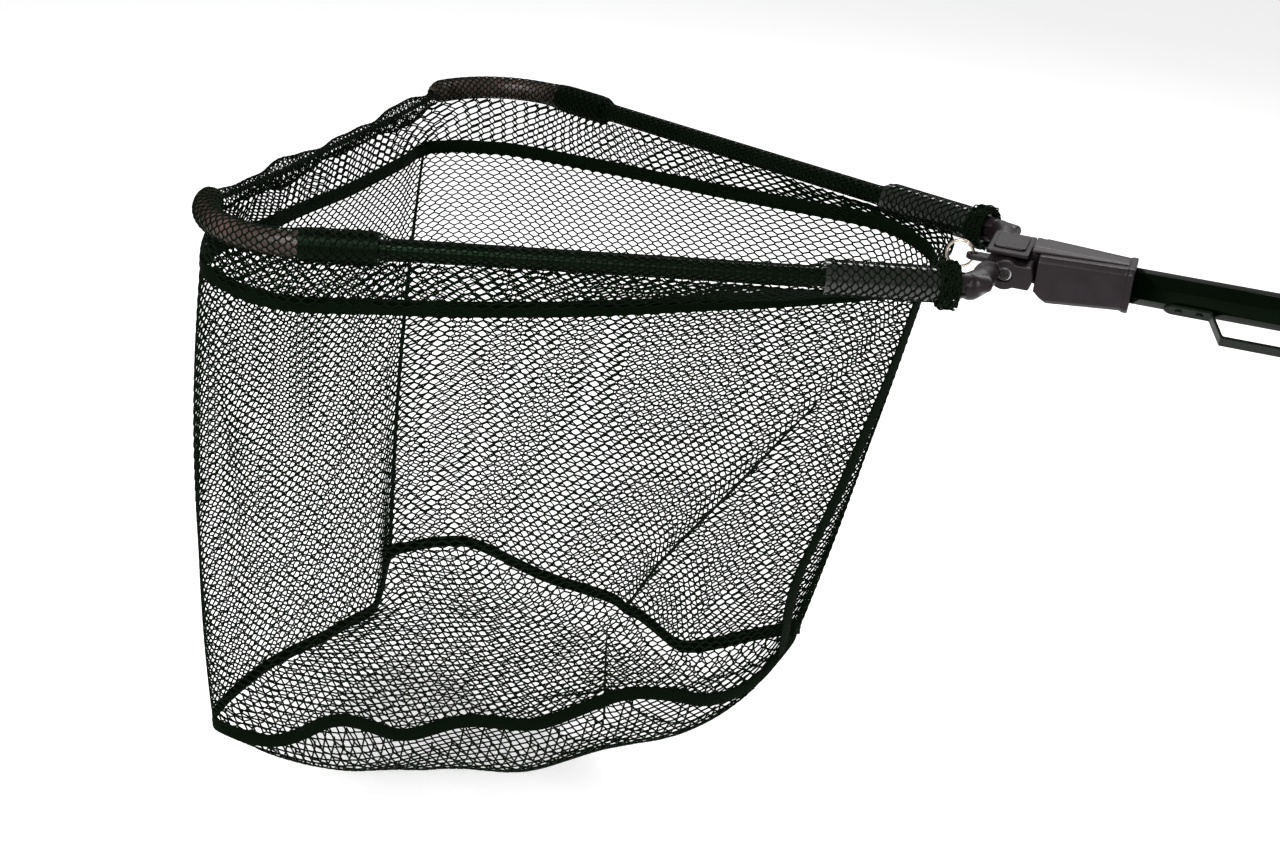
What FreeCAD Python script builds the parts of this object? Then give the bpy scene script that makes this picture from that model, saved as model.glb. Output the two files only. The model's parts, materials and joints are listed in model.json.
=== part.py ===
import FreeCAD, Part

import math
import os
import re

# Folding triangular landing net with a telescopic handle.
# Millimetres. +X runs along the handle towards the hand, +Y across the net, +Z up.
# The row origin is the middle of the hand grip; every piece is drawn about the head's
# transverse pivot axis and then shifted by pivot_to_grip.

os.makedirs("parts", exist_ok=True)
doc = FreeCAD.newDocument("landing_net")
sheet = doc.addObject("Spreadsheet::Sheet", "Sheet")

DIMENSIONS = [
    # layout along the handle, measured from the pivot axis
    ("pivot_to_grip", 665.0),
    ("base_front", 23.2),
    ("tube_front", 46.0),
    ("tube_rear", 562.0),
    ("plug_rear", 90.0),
    ("inner_front", 150.0),
    ("inner_rear", 728.0),
    # octagonal tubes, across flats
    ("outer_flats", 27.0),
    ("outer_bore_flats", 24.0),
    ("inner_flats", 22.0),
    ("inner_bore_flats", 19.0),
    ("sliding_gap", 0.2),
    ("flats_to_radius", 0.541196),
    # hinge block and knuckles
    ("web_half", 9.0),
    ("web_top", 13.2),
    ("web_bottom", 11.0),
    ("plate_half", 26.0),
    ("plate_thick", 3.8),
    ("plate_front", 18.0),
    ("plate_rear", 16.0),
    ("base_half", 19.0),
    ("boss_radius", 12.2),
    ("tail_radius", 22.4),
    ("tail_half_height", 9.5),
    ("cheek_inner", 26.5),
    ("cheek_outer", 34.0),
    ("running_gap", 0.5),
    ("screw_radius", 2.5),
    ("screw_head_radius", 4.4),
    ("counterbore_radius", 6.0),
    ("counterbore_depth", 4.0),
    # nose and ring
    ("nose_eye_x", 30.0),
    ("nose_radius", 6.0),
    ("nose_eye_radius", 3.0),
    ("nose_top", 3.0),
    ("nose_thick", 5.0),
    ("ring_radius", 11.0),
    ("ring_wire", 1.0),
    # arms, in the arm's own frame from the arm root
    ("root_x", 20.0),
    ("root_y", 75.0),
    ("arm_angle", 21.5),
    ("arm_pin_at", 8.0),
    ("arm_pin_radius", 2.0),
    ("tongue_half", 8.0),
    ("tongue_thick", 8.0),
    ("root_end", 22.0),
    ("root_radius", 10.8),
    ("sleeve_start", 14.0),
    ("sleeve_end", 115.0),
    ("sleeve_radius", 13.2),
    ("tube_start", 24.0),
    ("tube_end", 492.0),
    ("tube_radius", 7.5),
    ("tube_bore", 6.3),
    ("ferrule_start", 456.0),
    ("ferrule_end", 516.0),
    ("ferrule_radius", 12.5),
    ("elbow_bend_radius", 85.0),
    ("elbow_radius", 10.0),
    ("elbow_turn", 95.0),
    ("cap_length", 12.0),
    ("hem_start", 4.0),
    ("hem_thick", 0.8),
    ("hem_gap", 0.3),
    # lock housing
    ("housing_front", 23.8),
    ("housing_rear", 98.0),
    ("housing_front_half", 29.0),
    ("housing_rear_half", 19.0),
    ("housing_front_top", 17.9),
    ("housing_rear_top", 17.4),
    ("housing_front_bottom", 21.0),
    ("housing_rear_bottom", 17.4),
    ("housing_bevel", 4.0),
    ("wall_front", 48.0),
    ("wall_rear", 52.0),
    ("spring_cavity_radius", 15.8),
    ("rear_wall", 90.0),
    ("rim_length", 5.0),
    ("rim_proud", 1.2),
    ("cover_front", 17.4),
    ("cover_front_half", 19.0),
    ("cover_rear_half", 8.0),
    ("cover_front_thick", 3.6),
    ("cover_rear_thick", 1.2),
    ("spring_seat_at", 77.0),
    ("spring_wire", 0.45),
    ("spring_radius", 15.2),
    ("spring_pitch", 4.0),
    # belt clip
    ("clip_front", 124.0),
    ("clip_pad_end", 161.0),
    ("clip_step_end", 172.0),
    ("clip_end", 243.0),
    ("clip_drop", 19.0),
    ("clip_thick", 2.0),
    ("clip_width", 16.0),
    ("rivet_radius", 1.6),
    ("rivet_head_radius", 3.2),
    # rear end of the handle
    ("collar_front", 548.0),
    ("collar_rear", 592.0),
    ("collar_radius", 19.0),
    ("button_at", 578.0),
    ("button_radius", 5.0),
    ("button_low", 14.2),
    ("button_top", 21.0),
    ("grip_front", 600.0),
    ("grip_rear", 730.0),
    ("grip_radius", 16.0),
    # bag
    ("bag_top", 17.0),
    ("bag_floor", 385.0),
    ("bag_floor_front", 470.0),
    ("bag_sag", 75.0),
    ("bag_wall", 1.6),
    ("bag_front", 600.0),
    ("bag_front_half", 255.0),
    ("bag_back", 62.0),
    ("bag_back_half", 30.0),
    ("bag_blunt", 45.0),
    ("bag_bend_x", 350.0),
    ("bag_bend_half", 195.0),
    ("floor_bend_x", 330.0),
    ("floor_bend_near", 190.0),
    ("floor_bend_far", 84.0),
    ("floor_front", 590.0),
    ("floor_near_half", 235.0),
    ("floor_far_half", 125.0),
    ("floor_back", 136.0),
    ("floor_back_half", 12.0),
    ("tape_width", 10.0),
    ("tape_thick", 1.4),
    ("tape_gap", 0.25),
    ("upper_tape_share", 0.055),
    ("cord_radius", 2.5),
]

for row, (alias, number) in enumerate(DIMENSIONS, start=1):
    sheet.set(f"A{row}", alias.replace("_", " "))
    sheet.set(f"B{row}", str(number))
    sheet.setAlias(f"B{row}", alias)
doc.recompute()

ORIGIN = FreeCAD.Vector(0, 0, 0)
X_AXIS = FreeCAD.Vector(1, 0, 0)
Y_AXIS = FreeCAD.Vector(0, 1, 0)
Z_AXIS = FreeCAD.Vector(0, 0, 1)
ALONG_X = FreeCAD.Rotation(Y_AXIS, 90)
ALONG_Y = FreeCAD.Rotation(X_AXIS, -90)
UPRIGHT = FreeCAD.Rotation()

nodes = {}


def size(alias):
    """The value of one cell of the sheet."""
    return float(sheet.get(alias))


def cells(text):
    """An expression written with bare aliases, such as 'tube_rear - tube_front'."""
    return re.sub(r"[a-z][a-z_]+[a-z]", lambda found: "Sheet." + found.group(), text)


def solid(kind, name, at=("0", "0", "0"), turn=UPRIGHT, **sizes):
    """A primitive whose sizes and position are bound to the sheet."""
    item = doc.addObject(kind, name)
    item.Placement = FreeCAD.Placement(ORIGIN, turn)
    for key, text in sizes.items():
        item.setExpression(key, cells(text))
    for axis, text in zip("xyz", at):
        item.setExpression(f"Placement.Base.{axis}", cells(text))
    return item


def box(name, x0, x1, y0, y1, z0, z1):
    """A box between two corners, each given as an expression."""
    return solid(
        "Part::Box",
        name,
        at=(x0, y0, z0),
        Length=f"( {x1} ) - ( {x0} )",
        Width=f"( {y1} ) - ( {y0} )",
        Height=f"( {z1} ) - ( {z0} )",
    )


def rod(name, axis, radius, start, end, at=("0", "0")):
    """A cylinder along X, Y or Z from start to end; at gives its other two coordinates in order."""
    turn = {"x": ALONG_X, "y": ALONG_Y, "z": UPRIGHT}[axis]
    place = list(at)
    place.insert("xyz".index(axis), start)
    return solid(
        "Part::Cylinder",
        name,
        at=place,
        turn=turn,
        Radius=radius,
        Height=f"( {end} ) - ( {start} )",
    )


def octagon(name, flats, start, end):
    """An octagonal bar along X with a flat on top, given across its flats."""
    bar = solid(
        "Part::Prism",
        name,
        at=(start, "0", "0"),
        turn=ALONG_X.multiply(FreeCAD.Rotation(Z_AXIS, 22.5)),
        Circumradius=f"( {flats} ) * flats_to_radius",
        Height=f"( {end} ) - ( {start} )",
    )
    bar.Polygon = 8
    return bar


def join(name, *items):
    whole = doc.addObject("Part::MultiFuse", name)
    whole.Shapes = list(items)
    whole.Refine = True
    return whole


def cut(name, base, *tools):
    tool = tools[0] if len(tools) == 1 else join(name + "_tools", *tools)
    result = doc.addObject("Part::Cut", name)
    result.Base = base
    result.Tool = tool
    result.Refine = True
    return result


def common(name, first, second):
    both = doc.addObject("Part::MultiCommon", name)
    both.Shapes = [first, second]
    return both


def feature(name, shape):
    """A sub-part whose shape is made with Part's own functions from the sheet's values."""
    item = doc.addObject("Part::Feature", name)
    item.Shape = shape
    return item


def sketch_body(name, plane, corners):
    """A body with one sketch on an origin plane: a closed outline through the given corners."""
    body = doc.addObject("PartDesign::Body", name)
    sketch = body.newObject("Sketcher::SketchObject", name + "_outline")
    support = next(f for f in body.Origin.OriginFeatures if f.Role == plane)
    sketch.AttachmentSupport = (support, [""])
    sketch.MapMode = "FlatFace"
    count = len(corners)
    start = [
        FreeCAD.Vector(math.cos(2 * math.pi * i / count), math.sin(2 * math.pi * i / count), 0)
        for i in range(count)
    ]
    for i in range(count):
        sketch.addGeometry(Part.LineSegment(start[i], start[(i + 1) % count]), False)
    for i, (across, up) in enumerate(corners):
        SketchLink(sketch, i, (i + 1) % count)
        BindCorner(sketch, i, "X", start[i].x, across)
        BindCorner(sketch, i, "Y", start[i].y, up)
    return body, sketch


def SketchLink(sketch, line, following):
    """The end of one line meets the start of the next."""
    import Sketcher

    sketch.addConstraint(Sketcher.Constraint("Coincident", line, 2, following, 1))


def BindCorner(sketch, line, direction, number, text):
    """A corner's distance from the sketch origin, bound to the sheet."""
    import Sketcher

    constraint = Sketcher.Constraint("Distance" + direction, -1, 1, line, 1, number)
    index = sketch.addConstraint(constraint)
    sketch.setExpression(f"Constraints[{index}]", cells(text))


def keep(label, item, along="0"):
    """Names a finished sub-part and moves it from the pivot frame to the row frame."""
    item.Label = label
    item.setExpression("Placement.Base.x", cells(f"{along} - pivot_to_grip"))
    nodes[label] = item
    return item


def keep_on_arm(label, item):
    """A near-arm piece is drawn along -X from the arm root, then swung out to its side."""
    item.Label = label
    item.Placement = FreeCAD.Placement(ORIGIN, FreeCAD.Rotation(Z_AXIS, size("arm_angle")))
    item.setExpression("Placement.Base.x", "-Sheet.pivot_to_grip - Sheet.root_x")
    item.setExpression("Placement.Base.y", "-Sheet.root_y")
    nodes[label] = item
    return item


def keep_mirrored(label, source):
    """The far side's piece is the near one reflected in the net's middle plane."""
    twin = doc.addObject("Part::Mirroring", label)
    twin.Source = source
    twin.Normal = Y_AXIS
    twin.Base = ORIGIN
    twin.Label = label
    nodes[label] = twin
    return twin


# ---------------------------------------------------------------- handle tubes


def make_outer_tube():
    skin = octagon("outer_skin", "outer_flats", "tube_front", "tube_rear")
    bore = octagon("outer_bore", "outer_bore_flats", "tube_front - 1", "tube_rear + 1")
    tube = cut("outer_bored", skin, bore)
    holes = rivet_shanks("outer_rivet_hole")
    keep("outer_tube", cut("outer_tube_shape", tube, holes))


def make_inner_tube():
    skin = octagon("inner_skin", "inner_flats", "inner_front", "inner_rear")
    bore = octagon("inner_bore", "inner_bore_flats", "inner_front - 1", "inner_rear + 1")
    keep("inner_tube", cut("inner_tube_shape", skin, bore))


def make_inner_tube_plug():
    head = octagon(
        "plug_head", "outer_bore_flats - sliding_gap", "inner_front - 14", "inner_front - 0.1"
    )
    spigot = octagon(
        "plug_spigot", "inner_bore_flats", "inner_front - 1", "inner_front + 18"
    )
    keep("inner_tube_plug", join("inner_tube_plug_shape", head, spigot))


def make_guide_bush():
    ring = octagon("bush_ring", "outer_bore_flats", "tube_rear - 18", "tube_rear")
    bore = octagon("bush_bore", "inner_flats + sliding_gap", "tube_rear - 19", "tube_rear + 1")
    keep("guide_bush", cut("guide_bush_shape", ring, bore))


def make_tube_collar():
    barrel = rod("collar_barrel", "x", "collar_radius", "collar_front", "collar_rear")
    lead = solid(
        "Part::Cone",
        "collar_lead",
        at=("collar_front - 10", "0", "0"),
        turn=ALONG_X,
        Radius1="outer_flats / 2 + 2.2",
        Radius2="collar_radius",
        Height="10",
    )
    seat = octagon("collar_seat", "outer_flats", "collar_front - 11", "tube_rear")
    bore = octagon("collar_bore", "inner_flats + 2 * sliding_gap", "tube_rear - 1", "collar_rear + 1")
    pocket = rod(
        "button_pocket", "z", "button_radius + sliding_gap", "0", "collar_radius + 4",
        at=("button_at", "0"),
    )
    body = join("collar_outside", barrel, lead)
    keep("tube_collar", cut("tube_collar_shape", body, seat, bore, pocket))


def make_release_button():
    stem = rod("button_stem", "z", "button_radius", "button_low", "button_top - 1", at=("button_at", "0"))
    crown = solid(
        "Part::Cone",
        "button_crown",
        at=("button_at", "0", "button_top - 1"),
        Radius1="button_radius",
        Radius2="button_radius - 1",
        Height="1",
    )
    keep("release_button", join("release_button_shape", stem, crown))


def make_grip():
    sleeve = rod("grip_sleeve", "x", "grip_radius", "grip_front", "grip_rear")
    bore = octagon("grip_bore", "inner_flats", "grip_front - 1", "grip_rear + 1")
    keep("grip", cut("grip_shape", sleeve, bore))


def make_butt_cap():
    disc = rod("cap_disc", "x", "grip_radius - 0.2", "grip_rear", "grip_rear + 6")
    spigot = octagon("cap_spigot", "inner_bore_flats", "grip_rear - 22", "grip_rear + 1")
    keep("butt_cap", join("butt_cap_shape", disc, spigot))


# ---------------------------------------------------------------- belt clip


CLIP_ROTATION = FreeCAD.Rotation(X_AXIS, -45)


def rivet_shanks(name):
    """Two rivet shanks through the clip pad and the tube's lower near facet."""
    shanks = []
    for index, along in enumerate(("clip_front + 12", "clip_pad_end - 9")):
        shank = rod(
            f"{name}_{index}", "z", "rivet_radius",
            "( 0 - outer_flats / 2 ) - clip_thick - 1", "0 - outer_bore_flats / 2 - 0.05",
            at=(along, "0"),
        )
        shanks.append(shank)
    pair = join(name, *shanks)
    pair.Placement = FreeCAD.Placement(ORIGIN, CLIP_ROTATION)
    return pair


def make_belt_clip():
    top = "( 0 - outer_flats / 2 ) - 0.05"
    low = f"{top} - clip_drop"
    corners = [
        ("clip_front", top),
        ("clip_pad_end", top),
        ("clip_step_end", low),
        ("clip_end", low),
        ("clip_end + 8", f"{low} - 7"),
        ("clip_end + 8", f"{low} - 9.5"),
        ("clip_end - 1", f"{low} - clip_thick"),
        ("clip_step_end - 1.2", f"{low} - clip_thick"),
        ("clip_pad_end - 1.2", f"{top} - clip_thick"),
        ("clip_front", f"{top} - clip_thick"),
    ]
    body, outline = sketch_body("clip_strip", "XZ_Plane", corners)
    pad = body.newObject("PartDesign::Pad", "clip_pad")
    pad.Profile = outline
    pad.Midplane = True
    pad.setExpression("Length", "Sheet.clip_width")
    body.Placement = FreeCAD.Placement(ORIGIN, CLIP_ROTATION)
    nose = rod(
        "clip_nose", "z", "clip_width / 2", "0 - 60", "0",
        at=("clip_front + clip_width / 2", "0"),
    )
    beyond = box(
        "clip_beyond", "clip_front + clip_width / 2", "clip_end + 20",
        "0 - clip_width", "clip_width", "0 - 60", "0",
    )
    allowed = join("clip_allowed", nose, beyond)
    allowed.Placement = FreeCAD.Placement(ORIGIN, CLIP_ROTATION)
    rounded = common("clip_rounded", body, allowed)
    keep("belt_clip", cut("belt_clip_shape", rounded, rivet_shanks("clip_rivet_hole")))


def make_clip_rivets():
    heads = []
    for index, along in enumerate(("clip_front + 12", "clip_pad_end - 9")):
        head = solid(
            "Part::Cone",
            f"rivet_head_{index}",
            at=(along, "0", "( 0 - outer_flats / 2 ) - clip_thick - 1.25"),
            Radius1="rivet_head_radius - 1",
            Radius2="rivet_head_radius",
            Height="1.2",
        )
        heads.append(head)
    domes = join("rivet_heads", *heads)
    domes.Placement = FreeCAD.Placement(ORIGIN, CLIP_ROTATION)
    keep("clip_rivets", join("clip_rivets_shape", rivet_shanks("rivet_shank"), domes))


# ---------------------------------------------------------------- hinge block


def make_hinge_block():
    web = box(
        "web", "0 - 16", "base_front + 1", "0 - web_half", "web_half",
        "0 - web_bottom", "web_top + 1",
    )
    plate = box(
        "top_plate", "0 - plate_front", "plate_rear", "0 - plate_half", "plate_half",
        "web_top", "web_top + plate_thick",
    )
    nose_low = "nose_top - nose_thick"
    nose_bar = box(
        "nose_bar", "0 - nose_eye_x", "0 - 15", "0 - nose_radius", "nose_radius",
        nose_low, "nose_top",
    )
    nose_end = rod("nose_end", "z", "nose_radius", nose_low, "nose_top", at=("0 - nose_eye_x", "0"))
    base = box(
        "base", "base_front", "tube_front", "0 - base_half", "base_half", "0 - 15", "14",
    )
    plug = octagon("base_plug", "outer_bore_flats", "tube_front - 1", "plug_rear")
    whole = join("hinge_block_outside", web, plate, nose_bar, nose_end, base, plug)
    eye = rod("nose_eye", "z", "nose_eye_radius", "0 - 20", "20", at=("0 - nose_eye_x", "0"))
    bolt_hole = rod("web_hole", "y", "screw_radius", "0 - 20", "20")
    keep("hinge_block", cut("hinge_block_shape", whole, eye, bolt_hole))


def make_top_panel():
    """The raised rounded panel on the hinge block's top plate."""
    low = size("web_top") + size("plate_thick")
    blank = Part.makeBox(26, 36, 1.8, FreeCAD.Vector(-14, -18, low))
    upright = [e for e in blank.Edges if abs(e.tangentAt(e.FirstParameter).z) > 0.9]
    rounded = blank.makeFillet(4, upright)
    rim = [e for e in rounded.Edges if e.BoundBox.ZMin > low + 1]
    keep("top_panel", feature("top_panel_shape", rounded.makeChamfer(0.6, rim)))


def make_pivot_screws():
    seat = "cheek_outer - counterbore_depth"
    solids = []
    for side in (-1, 1):
        tag = "near" if side < 0 else "far"
        ends = (f"0 - ( {seat} )", "0 - 3") if side < 0 else ("3", seat)
        shank = rod(f"screw_shank_{tag}", "y", "screw_radius", *ends)
        head_ends = (f"0 - ( {seat} ) - 3.1", f"0 - ( {seat} ) - 0.6")
        if side > 0:
            head_ends = (f"{seat} + 0.6", f"{seat} + 3.1")
        head = rod(f"screw_head_{tag}", "y", "screw_head_radius", *head_ends)
        neck_ends = (f"0 - ( {seat} ) - 0.7", f"0 - ( {seat} ) + 0.1")
        if side > 0:
            neck_ends = (f"{seat} - 0.1", f"{seat} + 0.7")
        neck = rod(f"screw_neck_{tag}", "y", "screw_radius", *neck_ends)
        cross_far = ("0 - 20 - cheek_inner", f"0 - ( {seat} ) - 1.7")
        if side > 0:
            cross_far = (f"{seat} + 1.7", "20 + cheek_inner")
        slot_a = box(f"cross_a_{tag}", "0 - 2.4", "2.4", *cross_far, "0 - 0.55", "0.55")
        slot_b = box(f"cross_b_{tag}", "0 - 0.55", "0.55", *cross_far, "0 - 2.4", "2.4")
        bolt = join(f"screw_blank_{tag}", shank, neck, head)
        solids.append(cut(f"screw_{tag}", bolt, slot_a, slot_b))
    keep("pivot_screws", join("pivot_screws_shape", *solids))


def make_pivot_washers():
    """Two thin washers between the screw heads and the counterbore floors."""
    seat = size("cheek_outer") - size("counterbore_depth")
    rings = []
    for side in (-1, 1):
        start = FreeCAD.Vector(0, side * (seat + 0.05), 0)
        outward = FreeCAD.Vector(0, side, 0)
        disc = Part.makeCylinder(size("counterbore_radius") - 0.6, 0.5, start, outward)
        hole = Part.makeCylinder(size("screw_radius") + 0.02, 0.5, start, outward)
        rings.append(disc.cut(hole))
    keep("pivot_washers", feature("pivot_washers_shape", Part.makeCompound(rings)))


def make_ring():
    centre = "0 - nose_eye_x - ring_radius"
    torus = solid(
        "Part::Torus", "net_ring_shape", at=(centre, "0", "nose_top - nose_thick / 2"),
        turn=FreeCAD.Rotation(X_AXIS, 90), Radius1="ring_radius", Radius2="ring_wire",
    )
    keep("net_ring", torus, along=centre)


# ---------------------------------------------------------------- knuckles


def make_knuckle():
    """The near knuckle: a boss and tail beside the web, a cheek, and a neck out to the arm."""
    inner = size("web_half") + size("running_gap")
    cheek_in = size("cheek_inner")
    cheek_out = size("cheek_outer")
    boss = size("boss_radius")
    half = size("tail_half_height")
    reach = size("tail_radius")
    hub = Part.makeCylinder(boss, cheek_out - inner, FreeCAD.Vector(0, -cheek_out, 0), Y_AXIS)
    tail = Part.makeBox(reach + 1, cheek_out - inner, 2 * half, FreeCAD.Vector(0, -cheek_out, -half))
    sweep = Part.makeCylinder(reach, cheek_out, FreeCAD.Vector(0, -cheek_out - 1, 0), Y_AXIS)
    tail = tail.common(sweep)
    angle = math.radians(size("arm_angle"))
    outward = FreeCAD.Vector(-math.cos(angle), -math.sin(angle), 0)
    root = FreeCAD.Vector(-size("root_x"), -size("root_y"), 0)
    sections = [
        neck_section(FreeCAD.Vector(-7, -cheek_in - 0.1, 0), X_AXIS, 7.5, boss - 2.6),
        neck_section(FreeCAD.Vector(-14, -cheek_out - 2, 0), X_AXIS, 7.2, boss - 2.4),
        neck_section(FreeCAD.Vector(-15, -cheek_out - 18, 0), X_AXIS, 8.0, boss - 2.0),
        neck_section(FreeCAD.Vector(-13, -size("root_y") + 8, 0), X_AXIS, 8.6, boss - 2.2),
    ]
    neck = Part.makeLoft(sections, True, False)
    stub = Part.makeCylinder(10.6, 13.5, root - outward * 15.5, outward)
    stub = stub.makeChamfer(2.0, [e for e in stub.Edges if e.Length > 40])
    pin_at = root + outward * size("arm_pin_at")
    thick = size("tongue_thick")
    wide = size("tongue_half")
    tongue = Part.makeBox(16, 2 * wide, thick, FreeCAD.Vector(-8, -wide, -thick / 2))
    turn = FreeCAD.Rotation(Z_AXIS, size("arm_angle"))
    tongue.Placement = FreeCAD.Placement(root, turn).multiply(tongue.Placement)
    tip = Part.makeCylinder(wide, thick, pin_at - Z_AXIS * (thick / 2), Z_AXIS)
    body = hub.multiFuse([tail, neck, stub, tongue, tip]).removeSplitter()
    bore = Part.makeCylinder(size("screw_radius") + 0.08, 60, FreeCAD.Vector(0, -60, 0), Y_AXIS)
    mouth = FreeCAD.Vector(0, -cheek_out + size("counterbore_depth"), 0)
    recess = Part.makeCylinder(size("counterbore_radius"), 30, mouth, Y_AXIS * -1)
    pin_hole = Part.makeCylinder(size("arm_pin_radius"), 40, pin_at - Z_AXIS * 20, Z_AXIS)
    body = body.cut(bore).cut(recess).cut(pin_hole)
    knuckle = keep("knuckle_near", feature("knuckle_near_shape", body))
    keep_mirrored("knuckle_far", knuckle)


def neck_section(centre, across, wide, tall):
    """An upright rounded outline, wide along across and tall along Z."""
    side = FreeCAD.Vector(across)
    side.normalize()
    points = []
    for step in range(12):
        turn = 2 * math.pi * step / 12
        power = 0.8
        c = math.copysign(abs(math.cos(turn)) ** power, math.cos(turn))
        s = math.copysign(abs(math.sin(turn)) ** power, math.sin(turn))
        points.append(centre + side * (wide * c) + Z_AXIS * (tall * s))
    curve = Part.BSplineCurve()
    curve.interpolate(Points=points, PeriodicFlag=True)
    return Part.Wire([curve.toShape()])


def make_arm_rivets():
    """The two upright rivets that the arms swing on."""
    angle = math.radians(size("arm_angle"))
    along = size("root_x") + size("arm_pin_at") * math.cos(angle)
    aside = size("root_y") + size("arm_pin_at") * math.sin(angle)
    reach = math.sqrt(size("root_radius") ** 2 - (size("arm_pin_radius") + 1) ** 2) - 1.5
    pins = []
    for side in (-1, 1):
        start = FreeCAD.Vector(-along, side * aside, -reach)
        pins.append(Part.makeCylinder(size("arm_pin_radius"), 2 * reach, start, Z_AXIS))
    keep("arm_rivets", feature("arm_rivets_shape", Part.makeCompound(pins)))


# ---------------------------------------------------------------- arms


def make_arm_root():
    """The forked end that swings on the knuckle's tongue and plugs the arm tube."""
    pin_at = "0 - arm_pin_at"
    shank = rod("root_shank", "x", "root_radius", "0 - root_end", pin_at)
    eye = rod("root_eye", "z", "root_radius - 1.2", "0 - root_radius", "root_radius", at=(pin_at, "0"))
    round_bar = rod("root_round", "x", "root_radius", "0 - root_end", "20")
    eye_end = common("root_eye_end", eye, round_bar)
    spigot = rod("root_spigot", "x", "tube_bore", "0 - root_end - 38", "1 - root_end")
    whole = join("arm_root_outside", shank, eye_end, spigot)
    slot = box(
        "root_slot", "0 - arm_pin_at - tongue_half - 0.5", "30", "0 - 30", "30",
        "0 - tongue_thick / 2 - 0.3", "tongue_thick / 2 + 0.3",
    )
    hole = rod("root_pin_hole", "z", "arm_pin_radius + 0.08", "0 - 30", "30", at=(pin_at, "0"))
    near = keep_on_arm("arm_root_near", cut("arm_root_shape", whole, slot, hole))
    keep_mirrored("arm_root_far", near)


def make_root_sleeve():
    skin = rod("sleeve_skin", "x", "sleeve_radius", "0 - sleeve_end", "0 - sleeve_start")
    wide_bore = rod("sleeve_wide_bore", "x", "root_radius + 0.05", "0 - root_end - 1", "0")
    bore = rod("sleeve_bore", "x", "tube_radius", "0 - sleeve_end - 1", "0")
    near = keep_on_arm("root_sleeve_near", cut("root_sleeve_shape", skin, wide_bore, bore))
    keep_mirrored("root_sleeve_far", near)


def make_arm_tube():
    skin = rod("arm_skin", "x", "tube_radius", "0 - tube_end", "0 - tube_start")
    bore = rod("arm_bore", "x", "tube_bore", "0 - tube_end - 1", "0")
    near = keep_on_arm("arm_tube_near", cut("arm_tube_shape", skin, bore))
    keep_mirrored("arm_tube_far", near)


def make_tip_ferrule():
    skin = rod("ferrule_skin", "x", "ferrule_radius", "0 - ferrule_end", "0 - ferrule_start")
    bore = rod("ferrule_bore", "x", "tube_radius", "0 - ferrule_end - 1", "0 - ferrule_start + 1")
    near = keep_on_arm("tip_ferrule_near", cut("tip_ferrule_shape", skin, bore))
    keep_mirrored("tip_ferrule_far", near)


def make_tip_elbow():
    """The bent end piece that turns in towards the front cord."""
    spigot = rod("elbow_spigot", "x", "tube_radius", "0 - ferrule_end", "0 - tube_end - 0.5")
    bend = solid(
        "Part::Torus",
        "elbow_bend",
        at=("0 - ferrule_end", "elbow_bend_radius", "0"),
        turn=FreeCAD.Rotation(Z_AXIS, -90 - size("elbow_turn")),
        Radius1="elbow_bend_radius",
        Radius2="elbow_radius",
        Angle3="elbow_turn",
    )
    near = keep_on_arm("tip_elbow_near", join("tip_elbow_shape", spigot, bend))
    keep_mirrored("tip_elbow_far", near)


def elbow_end():
    """Where the elbow ends and which way it points, in the near arm's own frame."""
    turn = math.radians(size("elbow_turn"))
    bend = size("elbow_bend_radius")
    place = FreeCAD.Vector(
        -size("ferrule_end") - bend * math.sin(turn), bend * (1 - math.cos(turn)), 0
    )
    return place, FreeCAD.Vector(-math.cos(turn), math.sin(turn), 0)


def make_tip_cap():
    """The tapered cap that holds the front cord's end."""
    place, heading = elbow_end()
    cone = Part.makeCone(size("elbow_radius"), 5.0, size("cap_length"), place, heading)
    hole = Part.makeCylinder(
        size("cord_radius") + 1.6, size("cap_length"), place + heading * 4, heading
    )
    near = keep_on_arm("tip_cap_near", feature("tip_cap_shape", cone.cut(hole)))
    keep_mirrored("tip_cap_far", near)


def make_hem():
    """The bag's hem, a stepped sleeve of netting round the arm."""
    gap = "hem_gap"
    outer = "( hem_gap + hem_thick )"
    corners = [
        ("0 - hem_start", f"sleeve_radius + {gap}"),
        (f"0 - sleeve_end - {gap}", f"sleeve_radius + {gap}"),
        (f"0 - sleeve_end - {gap}", f"tube_radius + {gap}"),
        (f"0 - ferrule_start + {gap}", f"tube_radius + {gap}"),
        (f"0 - ferrule_start + {gap}", f"ferrule_radius + {gap}"),
        ("0 - ferrule_end", f"ferrule_radius + {gap}"),
        ("0 - ferrule_end", f"ferrule_radius + {outer}"),
        (f"0 - ferrule_start + {outer}", f"ferrule_radius + {outer}"),
        (f"0 - ferrule_start + {outer}", f"tube_radius + {outer}"),
        (f"0 - sleeve_end - {outer}", f"tube_radius + {outer}"),
        (f"0 - sleeve_end - {outer}", f"sleeve_radius + {outer}"),
        ("0 - hem_start", f"sleeve_radius + {outer}"),
    ]
    body, outline = sketch_body("hem_body", "XZ_Plane", corners)
    turned = body.newObject("PartDesign::Revolution", "hem_revolution")
    turned.Profile = outline
    turned.ReferenceAxis = (outline, ["H_Axis"])
    turned.Angle = 360
    near = keep_on_arm("hem_near", body)
    keep_mirrored("hem_far", near)


# ---------------------------------------------------------------- lock housing


def bevelled_section(x, half, top, bottom, bevel):
    """A closed outline across the handle with bevelled corners."""
    corners = [
        (-half, top - bevel), (-half + bevel, top), (half - bevel, top), (half, top - bevel),
        (half, -bottom + bevel), (half - bevel, -bottom), (-half + bevel, -bottom),
        (-half, -bottom + bevel),
    ]
    points = [FreeCAD.Vector(x, y, z) for y, z in corners]
    return Part.makePolygon(points + points[:1])


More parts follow.
